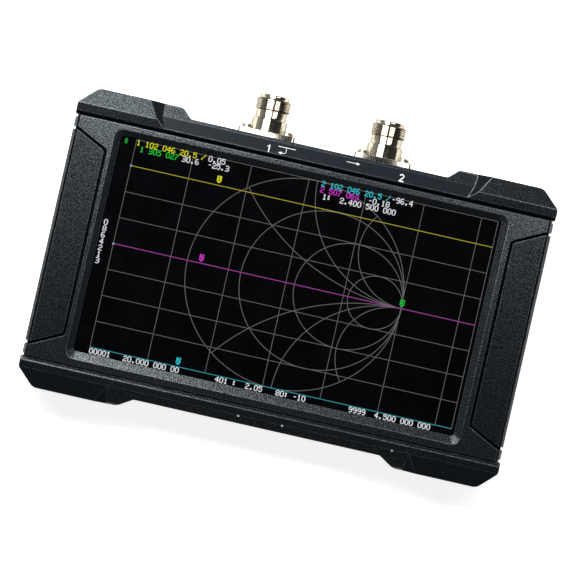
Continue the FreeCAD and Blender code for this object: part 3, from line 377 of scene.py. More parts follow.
def grained_plastic(name, colour, grain=0.55 * MM, roughness=0.22, depth=0.045 * MM, shine=0.43,
                    of_cap=False):
    """Moulded plastic: a fine grain with glossy tips, edges painted paler as wear and as a highlight, and
    grooves painted dark and dull as shade.

    The grain's height is noise plus 0.7 times the distance to the nearest of many scattered points. The
    end caps' steps are smooth and painted darker as shade, the top cap's band is smooth and paler, and the
    lip of its seam is painted dark as shadow.
    """
    material, tree, shader, place = start_finish(name)
    tone = {part: rgba(share * colour) for part, share in TONES.items()}
    fine = noise(tree, place, grain, 1.5, 0.6)
    cells = add(tree, "TexVoronoi", Vector=place, Scale=0.9 / grain).outputs["Distance"]
    broad = noise(tree, place, 35 * MM)
    height = maths(tree, "ADD", fine, maths(tree, "MULTIPLY", cells, 0.7))
    tips = spread(tree, height, 0.75, 1.1)
    matt = stretched(tree, fine, roughness - 0.04, roughness + 0.1)
    level = spread(tree, height, 0.6, 1.05, HOLLOW_SHINE * shine, TIP_SHINE * shine)
    shade = mixed(tree, stretched(tree, broad), tone["dark"], tone["pale"])
    # Where this falls, grooves and narrow corners get painted shade.
    unshaded = unshaded_share(tree)
    if of_cap:
        band, lip = band_and_seam_shadow(tree, place)
        steps = step_faces(tree)
        rough = maths(tree, "SUBTRACT", 1.0, maths(tree, "MAXIMUM", band, steps))
        tips = maths(tree, "MULTIPLY", tips, rough)
        height = maths(tree, "MULTIPLY", height, maths(tree, "MAXIMUM", rough, 0.05))
        level = spread(tree, rough, 0.0, 1.0, HOLLOW_SHINE * shine, level)
        # The steps are painted darker as shade; the band is paler.
        shade = mixed(tree, steps, mixed(tree, band, shade, tone["band"]), tone["step"])
        # The seam's lip is painted dark as shadow.
        unshaded = maths(tree, "MULTIPLY", unshaded, maths(tree, "SUBTRACT", 1.0, lip))
    shade = mixed(tree, maths(tree, "MULTIPLY", tips, 0.5), shade, tone["tip"])
    rounded = relief(tree, shader, height, depth, EDGE_RADIUS)
    # Edges are painted paler and glossier, as wear and as a highlight along the ridges.
    wear_and_highlight = maths(tree, "MULTIPLY", edge_mask(tree, rounded), maths(tree, "MULTIPLY", unshaded, unshaded))
    wear_and_highlight = maths(tree, "MULTIPLY", wear_and_highlight, spread(tree, fine, 0.3, 0.6, 0.3, 0.9))
    # Grooves and narrow corners are painted dark, rough and less glossy, as shade.
    shade = mixed(tree, unshaded, tone["groove"], mixed(tree, wear_and_highlight, shade, tone["wear_and_highlight"]))
    matt = maths(tree, "MAXIMUM", matt, spread(tree, unshaded, 0.0, 0.8, 0.95, 0.2))
    level = spread(tree, wear_and_highlight, 0.0, 1.0, level, WEAR_HIGHLIGHT_LEVEL)
    level = maths(tree, "MULTIPLY", level, spread(tree, unshaded, 0.0, 0.8, 0.05, 1.0))
    feed_all(tree, shader, Base_Color=shade, Roughness=matt, Specular_IOR_Level=level,
             Specular_Tint=(0.84, 0.95, 1.0, 1))
    return material


def soft_rubber(name, colour):
    """Grip rubber: duller than the plastic, with a wider and deeper grain."""
    return grained_plastic(name, colour, grain=0.65 * MM, roughness=0.27, depth=0.05 * MM, shine=0.21)


def worn_metal(name, colour, roughness, brushed=(1, 1, 1), stain=0.7, edge_radius=0.1 * MM):
    """Plated or rolled metal: cloudy tarnish, and streaks along the axis on which brushed is small."""
    material, tree, shader, place = start_finish(name)
    along = add(tree, "Mapping", Vector=place, Scale=brushed).outputs[0]
    streaks = noise(tree, along, 0.4 * MM, 2.0, 0.6)
    clouds = noise(tree, place, 2.5 * MM, 3.0)
    shade = mixed(tree, spread(tree, clouds, 0.35, 0.7), rgba(colour), rgba(stain * colour))
    matt = stretched(tree, streaks, roughness * 0.9, roughness * 1.15)
    feed_all(tree, shader, Base_Color=shade, Roughness=matt, Metallic=1.0,
             Specular_Tint=rgba(0.7 * colour))
    relief(tree, shader, streaks, 0.0005 * MM, edge_radius)
    return material


def screen_glass(name):
    """Cover glass over a dark panel: almost black, with a low coated gloss and faint finger smears."""
    material, tree, shader, place = start_finish(name)
    smears = noise(tree, place, 14 * MM, 4.0, 0.65)
    dust = noise(tree, place, 0.6 * MM, 1.0)
    clean = (0.0012, 0.0013, 0.0018, 1)
    smeared = (0.0022, 0.0024, 0.003, 1)
    shade = mixed(tree, spread(tree, smears, 0.4, 0.75), clean, smeared)
    matt = stretched(tree, smears, 0.02, 0.05)
    feed_all(tree, shader, Base_Color=shade, Roughness=matt, Specular_IOR_Level=0.12)
    relief(tree, shader, dust, 0.0005 * MM, 0.15 * MM)
    return material


def smooth_moulding(name, colour, roughness=0.35, clear=0.0):
    """Small moulded or wrapped piece: nearly smooth, with flow marks and a slight unevenness."""
    material, tree, shader, place = start_finish(name)
    flow = noise(tree, place, 1.6 * MM, 3.0)
    grain = noise(tree, place, 0.2 * MM, 2.0)
    pale = rgba(np.minimum(1.15 * colour, 1.0))
    shade = mixed(tree, stretched(tree, flow), rgba(0.85 * colour), pale)
    matt = stretched(tree, grain, roughness * 0.8, roughness * 1.2)
    feed_all(tree, shader, Base_Color=shade, Roughness=matt, Transmission_Weight=clear)
    relief(tree, shader, grain, 0.006 * MM, 0.12 * MM)
    return material


def lacquered_board(name, colour):
    """Circuit board: green lacquer with paler tracks and pale drilled spots."""
    material, tree, shader, place = start_finish(name)
    tracks = add(tree, "TexBrick", Vector=place, Scale=350.0, Mortar_Size=0.03, Color1=rgba(colour),
                 Color2=rgba(0.8 * colour), Mortar=rgba(1.8 * colour)).outputs["Color"]
    spots = add(tree, "TexVoronoi", Vector=place, Scale=400.0).outputs["Distance"]
    shade = mixed(tree, spread(tree, spots, 0.06, 0.1, 1.0, 0.0), tracks, (0.6, 0.5, 0.3, 1))
    feed_all(tree, shader, Base_Color=shade, Roughness=0.3)
    relief(tree, shader, spots, 0.01 * MM, 0.1 * MM)
    return material


def lit_ink(name, colour):
    """A lit part of the picture; display pixels dim it by up to a tenth."""
    material, tree, shader, place = start_finish(name)
    pixels = noise(tree, place, 0.12 * MM, 0.0)
    light = mixed(tree, stretched(tree, pixels), rgba(0.9 * colour), rgba(colour))
    feed_all(tree, shader, Emission_Color=light, Emission_Strength=1.0,
             Base_Color=(0.005, 0.005, 0.005, 1), Specular_IOR_Level=0.0)
    return material


def printed_ink(name, colour):
    """Screen-printed ink: slightly mottled where it lies over the plastic's grain."""
    material, tree, shader, place = start_finish(name)
    mottle = noise(tree, place, 0.3 * MM, 2.0)
    shade = mixed(tree, spread(tree, mottle, 0.35, 0.6), rgba(0.75 * colour), rgba(colour))
    feed_all(tree, shader, Base_Color=shade, Roughness=0.5)
    return material


# Settings


def length_setting(name, description, default):
    return FloatProperty(name=name, description=description, default=default, min=0.0, unit="LENGTH",
                         subtype="DISTANCE", precision=5)


def colour_setting(name, description, default):
    return FloatVectorProperty(name=name, description=description, default=default, min=0.0, max=1.0,
                               size=3, subtype="COLOR")


class AnalyzerSizes(bpy.types.PropertyGroup):
    """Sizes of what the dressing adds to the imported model."""

    grid_line: length_setting("Grid line", "Width of the grid's lines", 0.26 * MM)
    chart_line: length_setting("Chart line", "Width of the round chart's lines", 0.30 * MM)
    trace_line: length_setting("Trace line", "Width of the measured traces", 0.27 * MM)
    pixel_width: length_setting("Text pixel width", "Width of one pixel of the readouts", 0.325 * MM)
    pixel_height: length_setting("Text pixel height", "Height of one pixel of the readouts", 0.36 * MM)
    print_stroke: length_setting("Print stroke", "Width of a stroke of a printed numeral", 0.5 * MM)
    print_height: length_setting("Print height", "Thickness of the printed ink", 0.02 * MM)
    thread_pitch: length_setting("Thread pitch", "Distance between turns of a thread", 25.4 / 24 * MM)
    thread_depth: length_setting("Thread depth", "Depth of a port's thread", 0.6 * MM)
    camera_height: length_setting("Camera height", "Distance of the camera above the screen", 1.5)
    picture_width: length_setting("Picture width", "Width that the camera sees at the glass", 253.44 * MM)


class AnalyzerColours(bpy.types.PropertyGroup):
    """Colours of the finishes and of the lit picture."""

    case: colour_setting("Case", "Grained plastic of the two shells", (0.0062, 0.0080, 0.0102))
    caps: colour_setting("End caps", "Grained plastic of the two end caps", (0.0065, 0.0085, 0.0105))
    grips: colour_setting("Grips", "Rubber of the side grips", (0.0045, 0.0062, 0.0078))
    nickel: colour_setting("Nickel", "Plating of the ports", (0.52, 0.475, 0.39))
    print_white: colour_setting("Print", "Ink of the printed marks", (0.75, 0.77, 0.78))
    grid: colour_setting("Grid", "Lines of the grid and chart", (0.135, 0.125, 0.125))
    text: colour_setting("Readouts", "Plain readouts of the picture", (0.80, 0.82, 0.85))
    yellow: colour_setting("First trace", "First trace and its readouts", (0.72, 0.70, 0.01))
    magenta: colour_setting("Second trace", "Second trace and its readouts", (0.62, 0.03, 0.58))
    cyan: colour_setting("Third trace", "Third trace and its readouts", (0.02, 0.55, 0.62))
    green: colour_setting("Fourth trace", "Chart marker and its readouts", (0.01, 0.55, 0.05))


# Shapes of the picture


def readout(text, left, base, width, height, stacked=False):
    """Lit pixels as rectangles; a run of pixels in one row is one rectangle, a little longer."""
    overlap = 0.25
    rectangles = []
    for place, character in enumerate(text):
        x = left + (0 if stacked else place * NEXT_ACROSS * width)
        y = base - (place * NEXT_DOWN * height if stacked else 0)
        for row, bits in enumerate(FONT[character].split()):
            edges = np.flatnonzero(np.diff([0, *map(int, bits), 0]))
            top = y + (FONT_ROWS - row) * height
            for start, stop in edges.reshape(-1, 2):
                rectangles.append((x + start * width, top - height, x + (stop + overlap) * width, top))
    return rectangles


def reflection(resistance, reactance, centre, radius):
    """A point of the round chart: g = (z - 1) / (z + 1), with z = resistance + j * reactance."""
    impedance = resistance + 1j * reactance
    point = (impedance - 1) / (impedance + 1)
    return np.stack([centre[0] + radius[0] * point.real, centre[1] + radius[1] * point.imag], axis=1)


def chart_paths(centre, radius, circle_points=160, arc_points=90):
    """Circles of equal resistance, closed, and arcs of equal reactance, open, as lists of points.

    Tangents spread the points evenly. They stop short of a right angle, where they would run off.
    """
    turn = (np.arange(circle_points) + 0.5) / circle_points * 2 * math.pi - math.pi
    circles = []
    for resistance in (0.0, 1 / 3, 1.0, 3.0):
        reactance = (1 + resistance) * np.tan(turn / 2)
        circles.append(reflection(resistance, reactance, centre, radius))
    sweep = np.linspace(0.0, 0.497 * math.pi, arc_points)
    arcs = []
    for reactance in (0.5, 1.0, 2.0):
        resistance = (1 + reactance) * np.tan(sweep)
        for sign in (-1, 1):
            arcs.append(reflection(resistance, sign * reactance, centre, radius))
    return circles, arcs


# Operators, one for each group of like pieces


class Dressing:
    """What every operator of this add-on shares."""

    bl_options = {"REGISTER", "UNDO"}

    def execute(self, context):
        self.make(context.scene.analyzer_sizes, context.scene.analyzer_colours)
        return {"FINISHED"}


class ANALYZER_OT_finishes(Dressing, bpy.types.Operator):
    """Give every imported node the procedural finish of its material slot"""

    bl_idname = "analyzer.finishes"
    bl_label = "Finish the packed nodes"

    def make(self, sizes, colours):
        tone = {name: np.array(getattr(colours, name)) for name in ("case", "caps", "grips", "nickel")}
        steel = np.array((0.55, 0.55, 0.56))
        tin = steel * 1.2
        black = np.array((0.012, 0.012, 0.013))
        grey = np.array((0.05, 0.052, 0.056))
        finishes = {
            "case_plastic": grained_plastic("case_plastic", tone["case"]),
            "cap_plastic": grained_plastic("cap_plastic", tone["caps"], shine=0.35, of_cap=True),
            "grip_rubber": soft_rubber("grip_rubber", tone["grips"]),
            "screen_glass": screen_glass("screen_glass"),
            "display": smooth_moulding("display_panel", np.array((0.01, 0.01, 0.012))),
            "foam": soft_rubber("gasket_foam", np.array((0.01, 0.01, 0.01))),
            "bracket_steel": worn_metal("bracket_steel", steel, 0.35, brushed=(1, 0.05, 1)),
            "ribbon": smooth_moulding("ribbon_film", np.array((0.42, 0.17, 0.03)), 0.25),
            "board": lacquered_board("board_lacquer", np.array((0.01, 0.09, 0.035))),
            "can_metal": worn_metal("can_tin", tin, 0.3, brushed=(0.05, 1, 1)),
            "chip": smooth_moulding("chip_moulding", black, 0.45),
            "led": smooth_moulding("lamp_body", np.array((0.75, 0.74, 0.62)), 0.2),
            "light_pipe": smooth_moulding("light_pipe", np.array((0.8, 0.82, 0.85)), 0.1, clear=0.4),
            "battery_wrap": smooth_moulding("battery_wrap", np.array((0.02, 0.04, 0.12)), 0.3),
            "insulator": smooth_moulding("insulator_white", np.array((0.82, 0.81, 0.78)), 0.4),
            "contact": worn_metal("contact_gold", np.array((0.83, 0.58, 0.2)), 0.2),
            "socket_steel": worn_metal("socket_tin", tin, 0.3, brushed=(1, 0.05, 1)),
            "socket_plastic": smooth_moulding("socket_moulding", black, 0.4),
            "knob_plastic": grained_plastic("knob_plastic", grey, grain=0.3 * MM),
            "screw_steel": worn_metal("screw_zinc", steel, 0.3),
            "port_fastener": worn_metal("fastener_nickel", tone["nickel"], 0.25),
            "nickel": worn_metal("port_nickel", tone["nickel"], 0.10, brushed=(1, 0.08, 1), stain=0.82,
                                 edge_radius=0.02 * MM),
        }
        for part in frame["record"]["subparts"]:
            data = NODES[part["node"]].data
            data.materials.clear()
            data.materials.append(finishes[part["material_slot"]])


class ANALYZER_OT_picture(Dressing, bpy.types.Operator):
    """Light the screen's picture: grid, round chart, traces, marker tags and plain readouts"""

    bl_idname = "analyzer.picture"
    bl_label = "Light the picture"

    left, right, top, bottom = -79.3 * MM, 83.8 * MM, 48.95 * MM, -44.55 * MM
    column, row = 25.94 * MM, 11.6875 * MM
    full_columns, row_lines = 7, 9
    chart_centre = (2.4 * MM, 2.1 * MM)
    chart_radius = (48.3 * MM, 46.7 * MM)
    traces = {"yellow": 37.3 * MM, "magenta": 2.1 * MM, "cyan": -44.5 * MM}
    started = ("yellow", "magenta")

    # Digit and place of each marker tag, and its two rectangles around that place
    tags = {
        "yellow": ("1", -40.0 * MM, 38.0 * MM),
        "magenta": ("2", -40.0 * MM, 2.6 * MM),
        "cyan": ("2", -40.0 * MM, -44.0 * MM),
        "green": ("3", 50.5 * MM, 2.6 * MM),
    }
    tag_shape = np.array(((-1.0, 0.9, 1.0, 3.5), (-0.5, 0.4, 0.5, 0.9))) * MM

    # Ink, text and lower left corner in millimetres of each readout
    readouts = (
        ("yellow", "1 102 046 20.5 /", -79.0, 46.6), ("text", "0.05", -46.6, 46.6),
        ("green", "1 305 027", -77.0, 44.0), ("text", "30.6  -25.3", -58.0, 44.0),
        ("cyan", "2 102 046 20.5 /", 4.3, 46.9), ("text", "-96.4", 36.0, 46.9),
        ("magenta", "2 507 063", 4.3, 44.2), ("text", "-0.18", 26.0, 44.2),
        ("text", "1:  2.400 500 000", 6.0, 41.4),
        ("text", "00001", -79.3, -47.3), ("text", "20.000 000 00", -64.0, -47.3),
        ("text", "401 :  2.05   80: -10", -22.5, -47.3), ("text", "9999  4.500 000 000", 37.7, -47.3),
    )
    side_scale = ("0864213", -85.4 * MM, 9.4 * MM)
    charge = np.array(((-84.3, 46.4, -83.1, 48.5), (-83.95, 48.5, -83.45, 48.9))) * MM

    def make(self, sizes, colours):
        names = ("grid", "text", "yellow", "magenta", "cyan", "green")
        tone = {name: np.array(getattr(colours, name)) for name in names}
        inks = {name: lit_ink("lit_" + name, tone[name]) for name in names}
        self.chart(sizes, inks["grid"])

        half = sizes.trace_line / 2
        for name, y in self.traces.items():
            dim = lit_ink("lit_trace_" + name, 0.6 * tone[name])
            line = [(self.left, y - half, self.right, y + half)]
            self.light("picture_trace_" + name, line, "trace", dim)

        width = sizes.pixel_width * 0.8
        height = sizes.pixel_height * 0.8
        digits = []
        for name, (digit, x, y) in self.tags.items():
            self.light("picture_tag_" + name, self.tag_shape + (x, y, x, y), "tag", inks[name])
            digits += readout(digit, x - 2.6 * width, y + 1.2 * MM, width, height)
        dot = 0.4 * MM
        starts = [(self.left - dot, self.traces[name] - dot, self.left + dot, self.traces[name] + dot)
                  for name in self.started]
        self.light("picture_starts", starts, "tag", lit_ink("lit_start", np.array((0.25, 0.42, 0.62))))
        dark = lit_ink("lit_tag_digit", np.array((0.01, 0.01, 0.01)))
        self.light("picture_tag_digits", digits, "tag_digit", dark)

        pixels = {}
        for ink, text, x, y in self.readouts:
            row = readout(text, x * MM, y * MM, sizes.pixel_width, sizes.pixel_height)
            pixels.setdefault(ink, []).extend(row)
        pixels["text"] += readout(*self.side_scale, sizes.pixel_width, sizes.pixel_height, True)
        for ink, rectangles in pixels.items():
            self.light("readouts_" + ink, rectangles, "trace", inks[ink])
        self.light("picture_charge", self.charge, "trace", lit_ink("lit_charge", 0.5 * tone["green"]))

    def light(self, name, rectangles, level, ink):
        add_piece(name, tiles(rectangles, flat(GLASS_TOP), LEVELS[level]), ink)

    def chart(self, sizes, ink):
        """The square grid and, over it, the round chart."""
        half = sizes.grid_line / 2
        columns = [*(self.left + self.column * np.arange(self.full_columns)), self.right]
        rows = self.top - self.row * np.arange(self.row_lines)
        lines = [(x - half, self.bottom - half, x + half, self.top + half) for x in columns]
        lines += [(self.left - half, y - half, self.right + half, y + half) for y in rows]
        self.light("picture_grid", lines, "grid", ink)
        glass = flat(GLASS_TOP)
        curves = []
        for paths, closed in zip(chart_paths(self.chart_centre, self.chart_radius), (True, False)):
            curves += [ribbon(path, sizes.chart_line, glass, LEVELS["chart"], closed) for path in paths]
        add_piece("picture_chart", joined(curves), ink)


class ANALYZER_OT_prints(Dressing, bpy.types.Operator):
    """Print the port numerals and the plain signal arrows on the sloping band of the top cap"""

    bl_idname = "analyzer.prints"
    bl_label = "Print the port marks"

    one_place = (-21.6 * MM, 56.4 * MM, 0)
    two_place = (38.0 * MM, 56.4 * MM, 0)
    tall = 3.3 * MM
    hook = np.array(((-14.1, 59.9), (-14.1, 57.7), (-14.6, 57.2), (-17.4, 57.2))) * MM
    reach = np.array(((12.9, 59.9), (18.9, 59.9))) * MM
    overline = np.array(((-17.7, 59.9), (-10.1, 59.9))) * MM

    def make(self, sizes, colours):
        band = facet_under("top_cap", 0.0, 57 * MM, 61 * MM)
        marks = []
        for numeral, place in ((self.one(sizes), self.one_place), (self.two(sizes), self.two_place)):
            for points, faces in numeral:
                marks.append((points + np.array(place), faces))
        marks += self.arrow(self.hook, sizes) + self.arrow(self.reach, sizes)
        marks.append(self.stroke(self.overline, sizes, 0.5))
        points, faces = joined(marks)
        points[:, 2] += band(points[:, 0], points[:, 1])
        ink = printed_ink("print_ink", np.array(colours.print_white))
        add_piece("port_marks", (points, faces), ink)

    def stroke(self, path, sizes, share=1.0):
        """A printed line along the path, as wide as this share of a numeral's stroke."""
        return ribbon(path, sizes.print_stroke * share, flat(0), sizes.print_height)

    def one(self, sizes):
        """An upright and a bent flag at its top."""
        flag = [(0, self.tall), (-0.35 * MM, 0.8 * self.tall), (-0.9 * MM, 0.72 * self.tall)]
        return [self.stroke([(0, 0), (0, self.tall)], sizes), self.stroke(flag, sizes, 0.8)]

    def two(self, sizes, bowl=0.85 * MM):
        """An arc of radius bowl that runs on as a slanting line, and a foot."""
        sweep = np.radians(np.linspace(165, -35, 24))
        arc = np.stack([bowl * np.cos(sweep), self.tall - bowl + bowl * np.sin(sweep)], axis=1)
        rise = sizes.print_stroke / 2
        slant = np.vstack([arc, [(-0.9 * MM, rise)]])
        return [self.stroke(slant, sizes), self.stroke([(-1.1 * MM, rise), (1.1 * MM, rise)], sizes)]

    def arrow(self, path, sizes, head=1.5 * MM):
        """A thin line along the path; over its last stretch the width falls evenly to a point."""
        tip = path[-1]
        ahead = tip - path[-2]
        neck = tip - ahead / np.linalg.norm(ahead) * head
        widths = np.array([[0.8 * head], [0.02 * MM]])
        point = ribbon([neck, tip], widths, flat(0), sizes.print_height)
        return [self.stroke([*path[:-1], neck], sizes, 0.5), point]


class ANALYZER_OT_ports(Dressing, bpy.types.Operator):
    """Turn the two port shells with their threads, undercuts, rounded lips and bevelled flanges"""

    bl_idname = "analyzer.ports"
    bl_label = "Turn the ports"

    # Where the parts of a port lie, in millimetres in front of the case
    lengths = {
        "lip": 19.0,
        "thread_front": 17.0,
        "thread_back": 11.8,
        "barrel": 8.0,
        "flange": 2.2,
        "tail": -3.5,
    }

    def make(self, sizes, colours):
        nickel = bpy.data.materials["port_nickel"]
        for port in PORTS:
            shell = port + "_shell"
            low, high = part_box(shell)
            place = ((low.x + high.x) / 2, high.y - self.lengths["lip"] * MM, (low.z + high.z) / 2)
            surface = joined([self.barrel(sizes, place), self.flange(place)])
            add_piece(port + "_turned", surface, nickel, (shell,))

    def barrel(self, sizes, place, count=128):
        """The shell's profile turned about Y, less the thread.

        The thread takes depth * trapezium(length / pitch - angle / turn) away and fades at both its ends.
        """
        at = self.lengths
        barrel = at["barrel"]
        thread = np.linspace(at["thread_back"] + 0.25, at["thread_front"] - 0.2, 110)
        lip = np.radians(np.linspace(0, 90, 7))
        profile = [(4.025, at["tail"]), (4.025, 18.55), (4.12, 18.85), (4.4, at["lip"])]
        profile += [(5.95 + 0.65 * math.sin(a), 18.35 + 0.65 * math.cos(a)) for a in lip]
        profile += [(6.6, 17.35), (6.75, 17.12), (7.2, at["thread_front"])]
        profile += [(7.94, y) for y in thread[::-1]]
        profile += [(7.25, at["thread_back"]), (7.0, 11.6), (7.0, 8.45), (7.08, 8.2), (7.3, 8.05)]
        profile += [(7.6, barrel), (7.85, 7.93), (7.95, 7.7), (7.95, 2.5), (8.05, 2.25), (8.2, 2.0)]
        profile += [(8.2, 1.0), (4.75, 1.0), (4.75, at["tail"])]

        def wave(length, angle):
            saw = np.mod(length / sizes.thread_pitch - angle / (2 * math.pi), 1.0)
            groove = np.clip(2.6 * (1 - np.abs(2 * saw - 1)) - 0.8, 0, 1)
            start = np.clip((length / MM - at["thread_back"] - 0.1) / 0.5, 0, 1)
            stop = np.clip((at["thread_front"] - 0.1 - length / MM) / 0.5, 0, 1)
            return -sizes.thread_depth * groove * np.minimum(start, stop)

        return turned(np.array(profile) * MM, count, place, wave)

    def flange(self, place, half=12.7, corner=1.2, edge=0.3, steps=8):
        """A rounded square, carried through (inset, depth) levels with a small arc at the front edge."""
        front = self.lengths["flange"]
        levels = [(half, 0.0), (0.0, 0.0), (0.0, front - edge)]
        for a in np.radians((30, 60, 90)):
            levels.append((edge * (1 - math.cos(a)), front - edge + edge * math.sin(a)))
        levels.append((half, front))
        quarter = np.radians(np.linspace(0, 90, steps))
        rings = []
        for inset, depth in levels:
            radius = min(corner, half - inset)
            middle = half - inset - radius
            ring = []
            for turn, (across, upward) in enumerate(((1, 1), (-1, 1), (-1, -1), (1, -1))):
                angle = quarter + turn * math.pi / 2
                ring.append(np.stack([across * middle + radius * np.cos(angle), np.full(steps, depth),
                                      upward * middle + radius * np.sin(angle)], axis=1))
            rings.append(np.concatenate(ring))
        points = np.array(rings) * MM + np.array(place)
        return points, grid_faces(len(rings), 4 * steps, False, True)


class ANALYZER_OT_screws(Dressing, bpy.types.Operator):
    """Set crowned screws with a cross recess in the ports, the rear face and the end caps"""

    bl_idname = "analyzer.screws"
    bl_label = "Set the screws"

    # Node, head radius and height, shank radius and length in millimetres, slot and material
    kinds = (
        ("case_screws", 2.3, 1.6, 1.25, 12.0, "screw_steel", "screw_zinc"),
        ("top_cap_screws", 2.3, 1.6, 1.25, 13.0, "screw_steel", "screw_zinc"),
        ("bottom_cap_screws", 2.3, 1.6, 1.25, 13.0, "screw_steel", "screw_zinc"),
        ("port_screws", 2.75, 1.9, 1.45, 8.2, "port_fastener", "fastener_nickel"),
    )
    pitch = 0.8 * MM

    # Half width and half length of the cross, each with its run-out, as shares of the head's radius
    cross_width, width_fade = 0.17, 0.05
    cross_length, length_fade = 0.58, 0.08

    def make(self, sizes, colours):
        for node, *measures, slot, metal in self.kinds:
            head, height, shank, length = np.array(measures) * MM
            screws = [self.screw(seat, axis, head, height, shank, length)
                      for seat, axis in self.seats(node, head, height)]
            add_piece(node + "_turned", joined(screws), bpy.data.materials[metal], (node,))

    def seats(self, node, head, height):
        """Where each head sits and where it points, from the corners of the node's box."""
        low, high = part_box(node)
        if node == "case_screws":
            return [((x, y, low.z + height), (0, 0, -1)) for x in (low.x + head, high.x - head)
                    for y in (low.y + head, high.y - head)]
        z = (low.z + high.z) / 2
        if node == "port_screws":
            spots = []
            for port in PORTS:
                inner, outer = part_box(port + "_contact")
                x = (inner.x + outer.x) / 2
                half = (high.z - low.z) / 2 - head
                spots += [((x + across * half, high.y - height, z + upward * half), (0, 1, 0))
                          for across in (-1, 1) for upward in (-1, 1)]
            return spots
        way = 1 if node.startswith("top") else -1
        y = high.y - height if way > 0 else low.y + height
        return [((x, y, z), (0, way, 0)) for x in (low.x + head, high.x - head)]

    def screw(self, seat, axis, head, height, shank, length, cells=33, rings=60, sides=16):
        """A head with z = height * (1 - r^4)^0.4, less a cross, and a threaded shank with a tapered tip.

        A square grid is mapped to the disc: x = u * sqrt(1 - v^2 / 2) and y = v * sqrt(1 - u^2 / 2).
        """
        u, v = np.meshgrid(np.linspace(-1, 1, cells), np.linspace(-1, 1, cells))
        x = u * np.sqrt(1 - v * v / 2)
        y = v * np.sqrt(1 - u * u / 2)
        crown = np.clip(1 - (x * x + y * y) ** 2, 0, 1) ** 0.4
        narrow = np.clip((self.cross_width - np.minimum(np.abs(x), np.abs(y))) / self.width_fade, 0, 1)
        wide = np.clip((self.cross_length - np.maximum(np.abs(x), np.abs(y))) / self.length_fade, 0, 1)
        top = np.stack([head * x, head * y, height * crown * (1 - 0.55 * narrow * wide)], axis=-1)
        base = np.stack([head * x, head * y, np.zeros_like(x)], axis=-1)
        down = np.linspace(0, 1, rings)[:, None]
        angle = np.arange(sides) / sides * 2 * math.pi
        turn = np.mod(length * down / self.pitch - angle / (2 * math.pi), 1)
        taper = np.clip((1 - down) * 8, 0, 1)
        taper[0] = 0
        radius = shank * (1 - 0.12 * np.abs(2 * turn - 1)) * taper
        depth = np.repeat(-length * down, sides, axis=1)
        around = np.stack([radius * np.cos(angle), radius * np.sin(angle), depth], axis=-1)
        disc = grid_faces(cells, cells)
        tube = grid_faces(rings, sides, False, True)
        points, faces = joined([(top, disc), (base, disc), (around, tube)])
        ahead = np.array(axis, float)
        across = np.array((1.0, 0.0, 0.0))
        upward = np.cross(ahead, across)
        return points @ np.array([across, upward, ahead]) + np.array(seat), faces


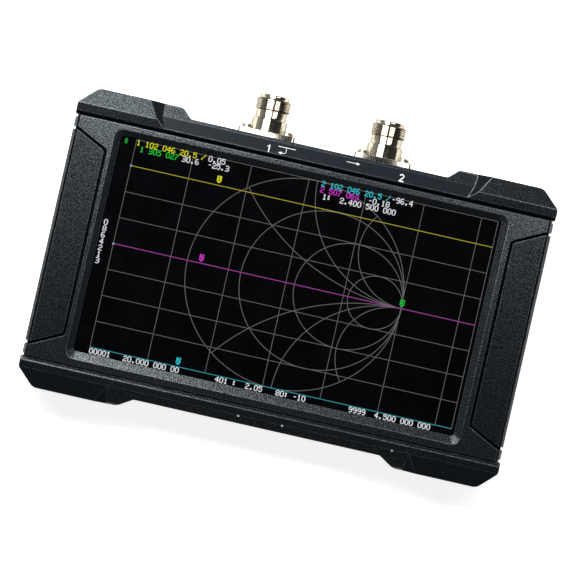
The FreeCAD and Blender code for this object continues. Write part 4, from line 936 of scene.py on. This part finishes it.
class ANALYZER_OT_stage(Dressing, bpy.types.Operator):
    """Set the pale floor, the soft studio lights and the camera"""

    bl_idname = "analyzer.stage"
    bl_label = "Set the stage"

    roll = math.radians(12.75)
    floor_half = 2.0

    # Name, place, target, size in metres and power in watts of each soft box
    lamps = (
        ("key_light", (-0.175, 0.197, 0.38), (-0.175, 0.197, 0.0), (0.32, 0.264), 2.4),
        ("right_light", (0.19, 0.135, 0.38), (0.19, 0.135, 0.0), (0.24, 0.14), 0.62),
        ("back_light", (-0.22, 0.75, 0.42), (0.0, 0.0, 0.02), (0.18, 0.50), 4.6),
    )
    lamp_colour = (1.0, 0.995, 0.985)

    # Strength of the floor's own light, and share of the studio's light that reaches matt surfaces
    floor_glow = 0.87
    ambient = 0.25

    def make(self, sizes, colours):
        self.floor()
        self.sky()
        for lamp in self.lamps:
            self.lamp(*lamp)
        view = bpy.data.cameras.new("photo_view")
        view.lens = view.sensor_width * sizes.camera_height / sizes.picture_width
        camera = bpy.data.objects.new("photo_view", view)
        camera.location = (0.0, 0.0, GLASS_TOP + sizes.camera_height)
        camera.rotation_euler = (0.0, 0.0, self.roll)
        bpy.context.scene.collection.objects.link(camera)
        bpy.context.scene.camera = camera
        bpy.context.scene.view_settings.view_transform = "Standard"

    def floor(self):
        """A wide plane under the rear face: x and y run over a square, z = 0."""
        side = np.array((-self.floor_half, self.floor_half))
        x, y = np.meshgrid(side, side)
        mesh = bpy.data.meshes.new("floor")
        mesh.from_pydata(np.stack([x, y, np.zeros_like(x)], -1).reshape(-1, 3), [], grid_faces(2, 2))
        floor = bpy.data.objects.new("floor", mesh)
        bpy.context.scene.collection.objects.link(floor)
        material, tree, shader, place = start_finish("floor_paper")
        fibres = noise(tree, place, 1.5 * MM, 3.0)
        shade = mixed(tree, fibres, (0.80, 0.80, 0.80, 1), (0.86, 0.86, 0.86, 1))
        seen = self.rays(tree, "Camera", "Glossy", "Transmission")
        glow = maths(tree, "MULTIPLY", seen, self.floor_glow)
        feed_all(tree, shader, Base_Color=shade, Roughness=0.9, Specular_IOR_Level=0.0,
                 Emission_Color=(1, 1, 1, 1), Emission_Strength=glow)
        mesh.materials.append(material)

    def rays(self, tree, *kinds):
        """One for rays of these kinds and zero for all others."""
        path = add(tree, "LightPath").outputs
        seen = path["Is %s Ray" % kinds[0]]
        for kind in kinds[1:]:
            seen = maths(tree, "MAXIMUM", seen, path["Is %s Ray" % kind])
        return seen

    def sky(self):
        """A studio that is bright on the side of its windows and dims away from them and upwards.

        The camera and clear pieces see white all round.
        """
        world = bpy.data.worlds.new("studio")
        world.use_nodes = True
        tree = world.node_tree
        way = add(tree, "TexCoord").outputs["Generated"]
        right, back, upward = add(tree, "SeparateXYZ", Vector=way).outputs
        windows = maths(tree, "SUBTRACT", maths(tree, "MULTIPLY", back, 0.8),
                        maths(tree, "MULTIPLY", right, 0.6))
        wall = maths(tree, "MULTIPLY", spread(tree, windows, 0.0, 0.85, 0.08, 0.5),
                     spread(tree, upward, 0.25, 0.9, 1.0, 0.1))
        gloss = maths(tree, "MULTIPLY", self.rays(tree, "Glossy"), wall)
        ambient = maths(tree, "MULTIPLY", wall, self.ambient)
        shown = self.rays(tree, "Camera", "Transmission")
        strength = maths(tree, "MAXIMUM", shown, maths(tree, "MAXIMUM", gloss, ambient))
        feed_all(tree, tree.nodes["Background"], Color=(1, 1, 1, 1), Strength=strength)
        bpy.context.scene.world = world

    def lamp(self, name, place, target, size, power):
        """A soft box that the camera sees through; one straight over its target isn't turned."""
        light = bpy.data.lights.new(name, "AREA")
        light.shape = "RECTANGLE"
        light.size, light.size_y = size
        light.energy = power
        light.color = self.lamp_colour
        lamp = bpy.data.objects.new(name, light)
        lamp.visible_camera = False
        lamp.location = place
        aim = Vector(target) - Vector(place)
        lamp.rotation_euler = aim.to_track_quat("-Z", "Y").to_euler() if aim.xy.length > 0 else (0, 0, 0)
        bpy.context.scene.collection.objects.link(lamp)


class ANALYZER_PT_dressing(bpy.types.Panel):
    """Lists the dressing's settings and steps in the sidebar"""

    bl_label = "Antenna analyzer"
    bl_idname = "ANALYZER_PT_dressing"
    bl_space_type = "VIEW_3D"
    bl_region_type = "UI"
    bl_category = "Analyzer"

    def draw(self, context):
        for step in STEPS:
            self.layout.operator(step.bl_idname)
        for settings in (context.scene.analyzer_sizes, context.scene.analyzer_colours):
            box = self.layout.box()
            for name in settings.__annotations__:
                box.prop(settings, name)


STEPS = (
    ANALYZER_OT_finishes,
    ANALYZER_OT_picture,
    ANALYZER_OT_prints,
    ANALYZER_OT_ports,
    ANALYZER_OT_screws,
    ANALYZER_OT_stage,
)
CLASSES = (AnalyzerSizes, AnalyzerColours, *STEPS, ANALYZER_PT_dressing)


def register():
    for cls in CLASSES:
        bpy.utils.register_class(cls)
    bpy.types.Scene.analyzer_sizes = PointerProperty(type=AnalyzerSizes)
    bpy.types.Scene.analyzer_colours = PointerProperty(type=AnalyzerColours)


def unregister():
    del bpy.types.Scene.analyzer_colours
    del bpy.types.Scene.analyzer_sizes
    for cls in reversed(CLASSES):
        bpy.utils.unregister_class(cls)


def main():
    """Register the add-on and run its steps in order."""
    register()
    for operate in (bpy.ops.analyzer.finishes, bpy.ops.analyzer.picture, bpy.ops.analyzer.prints,
                    bpy.ops.analyzer.ports, bpy.ops.analyzer.screws, bpy.ops.analyzer.stage):
        operate()


if __name__ == "__main__":
    main()
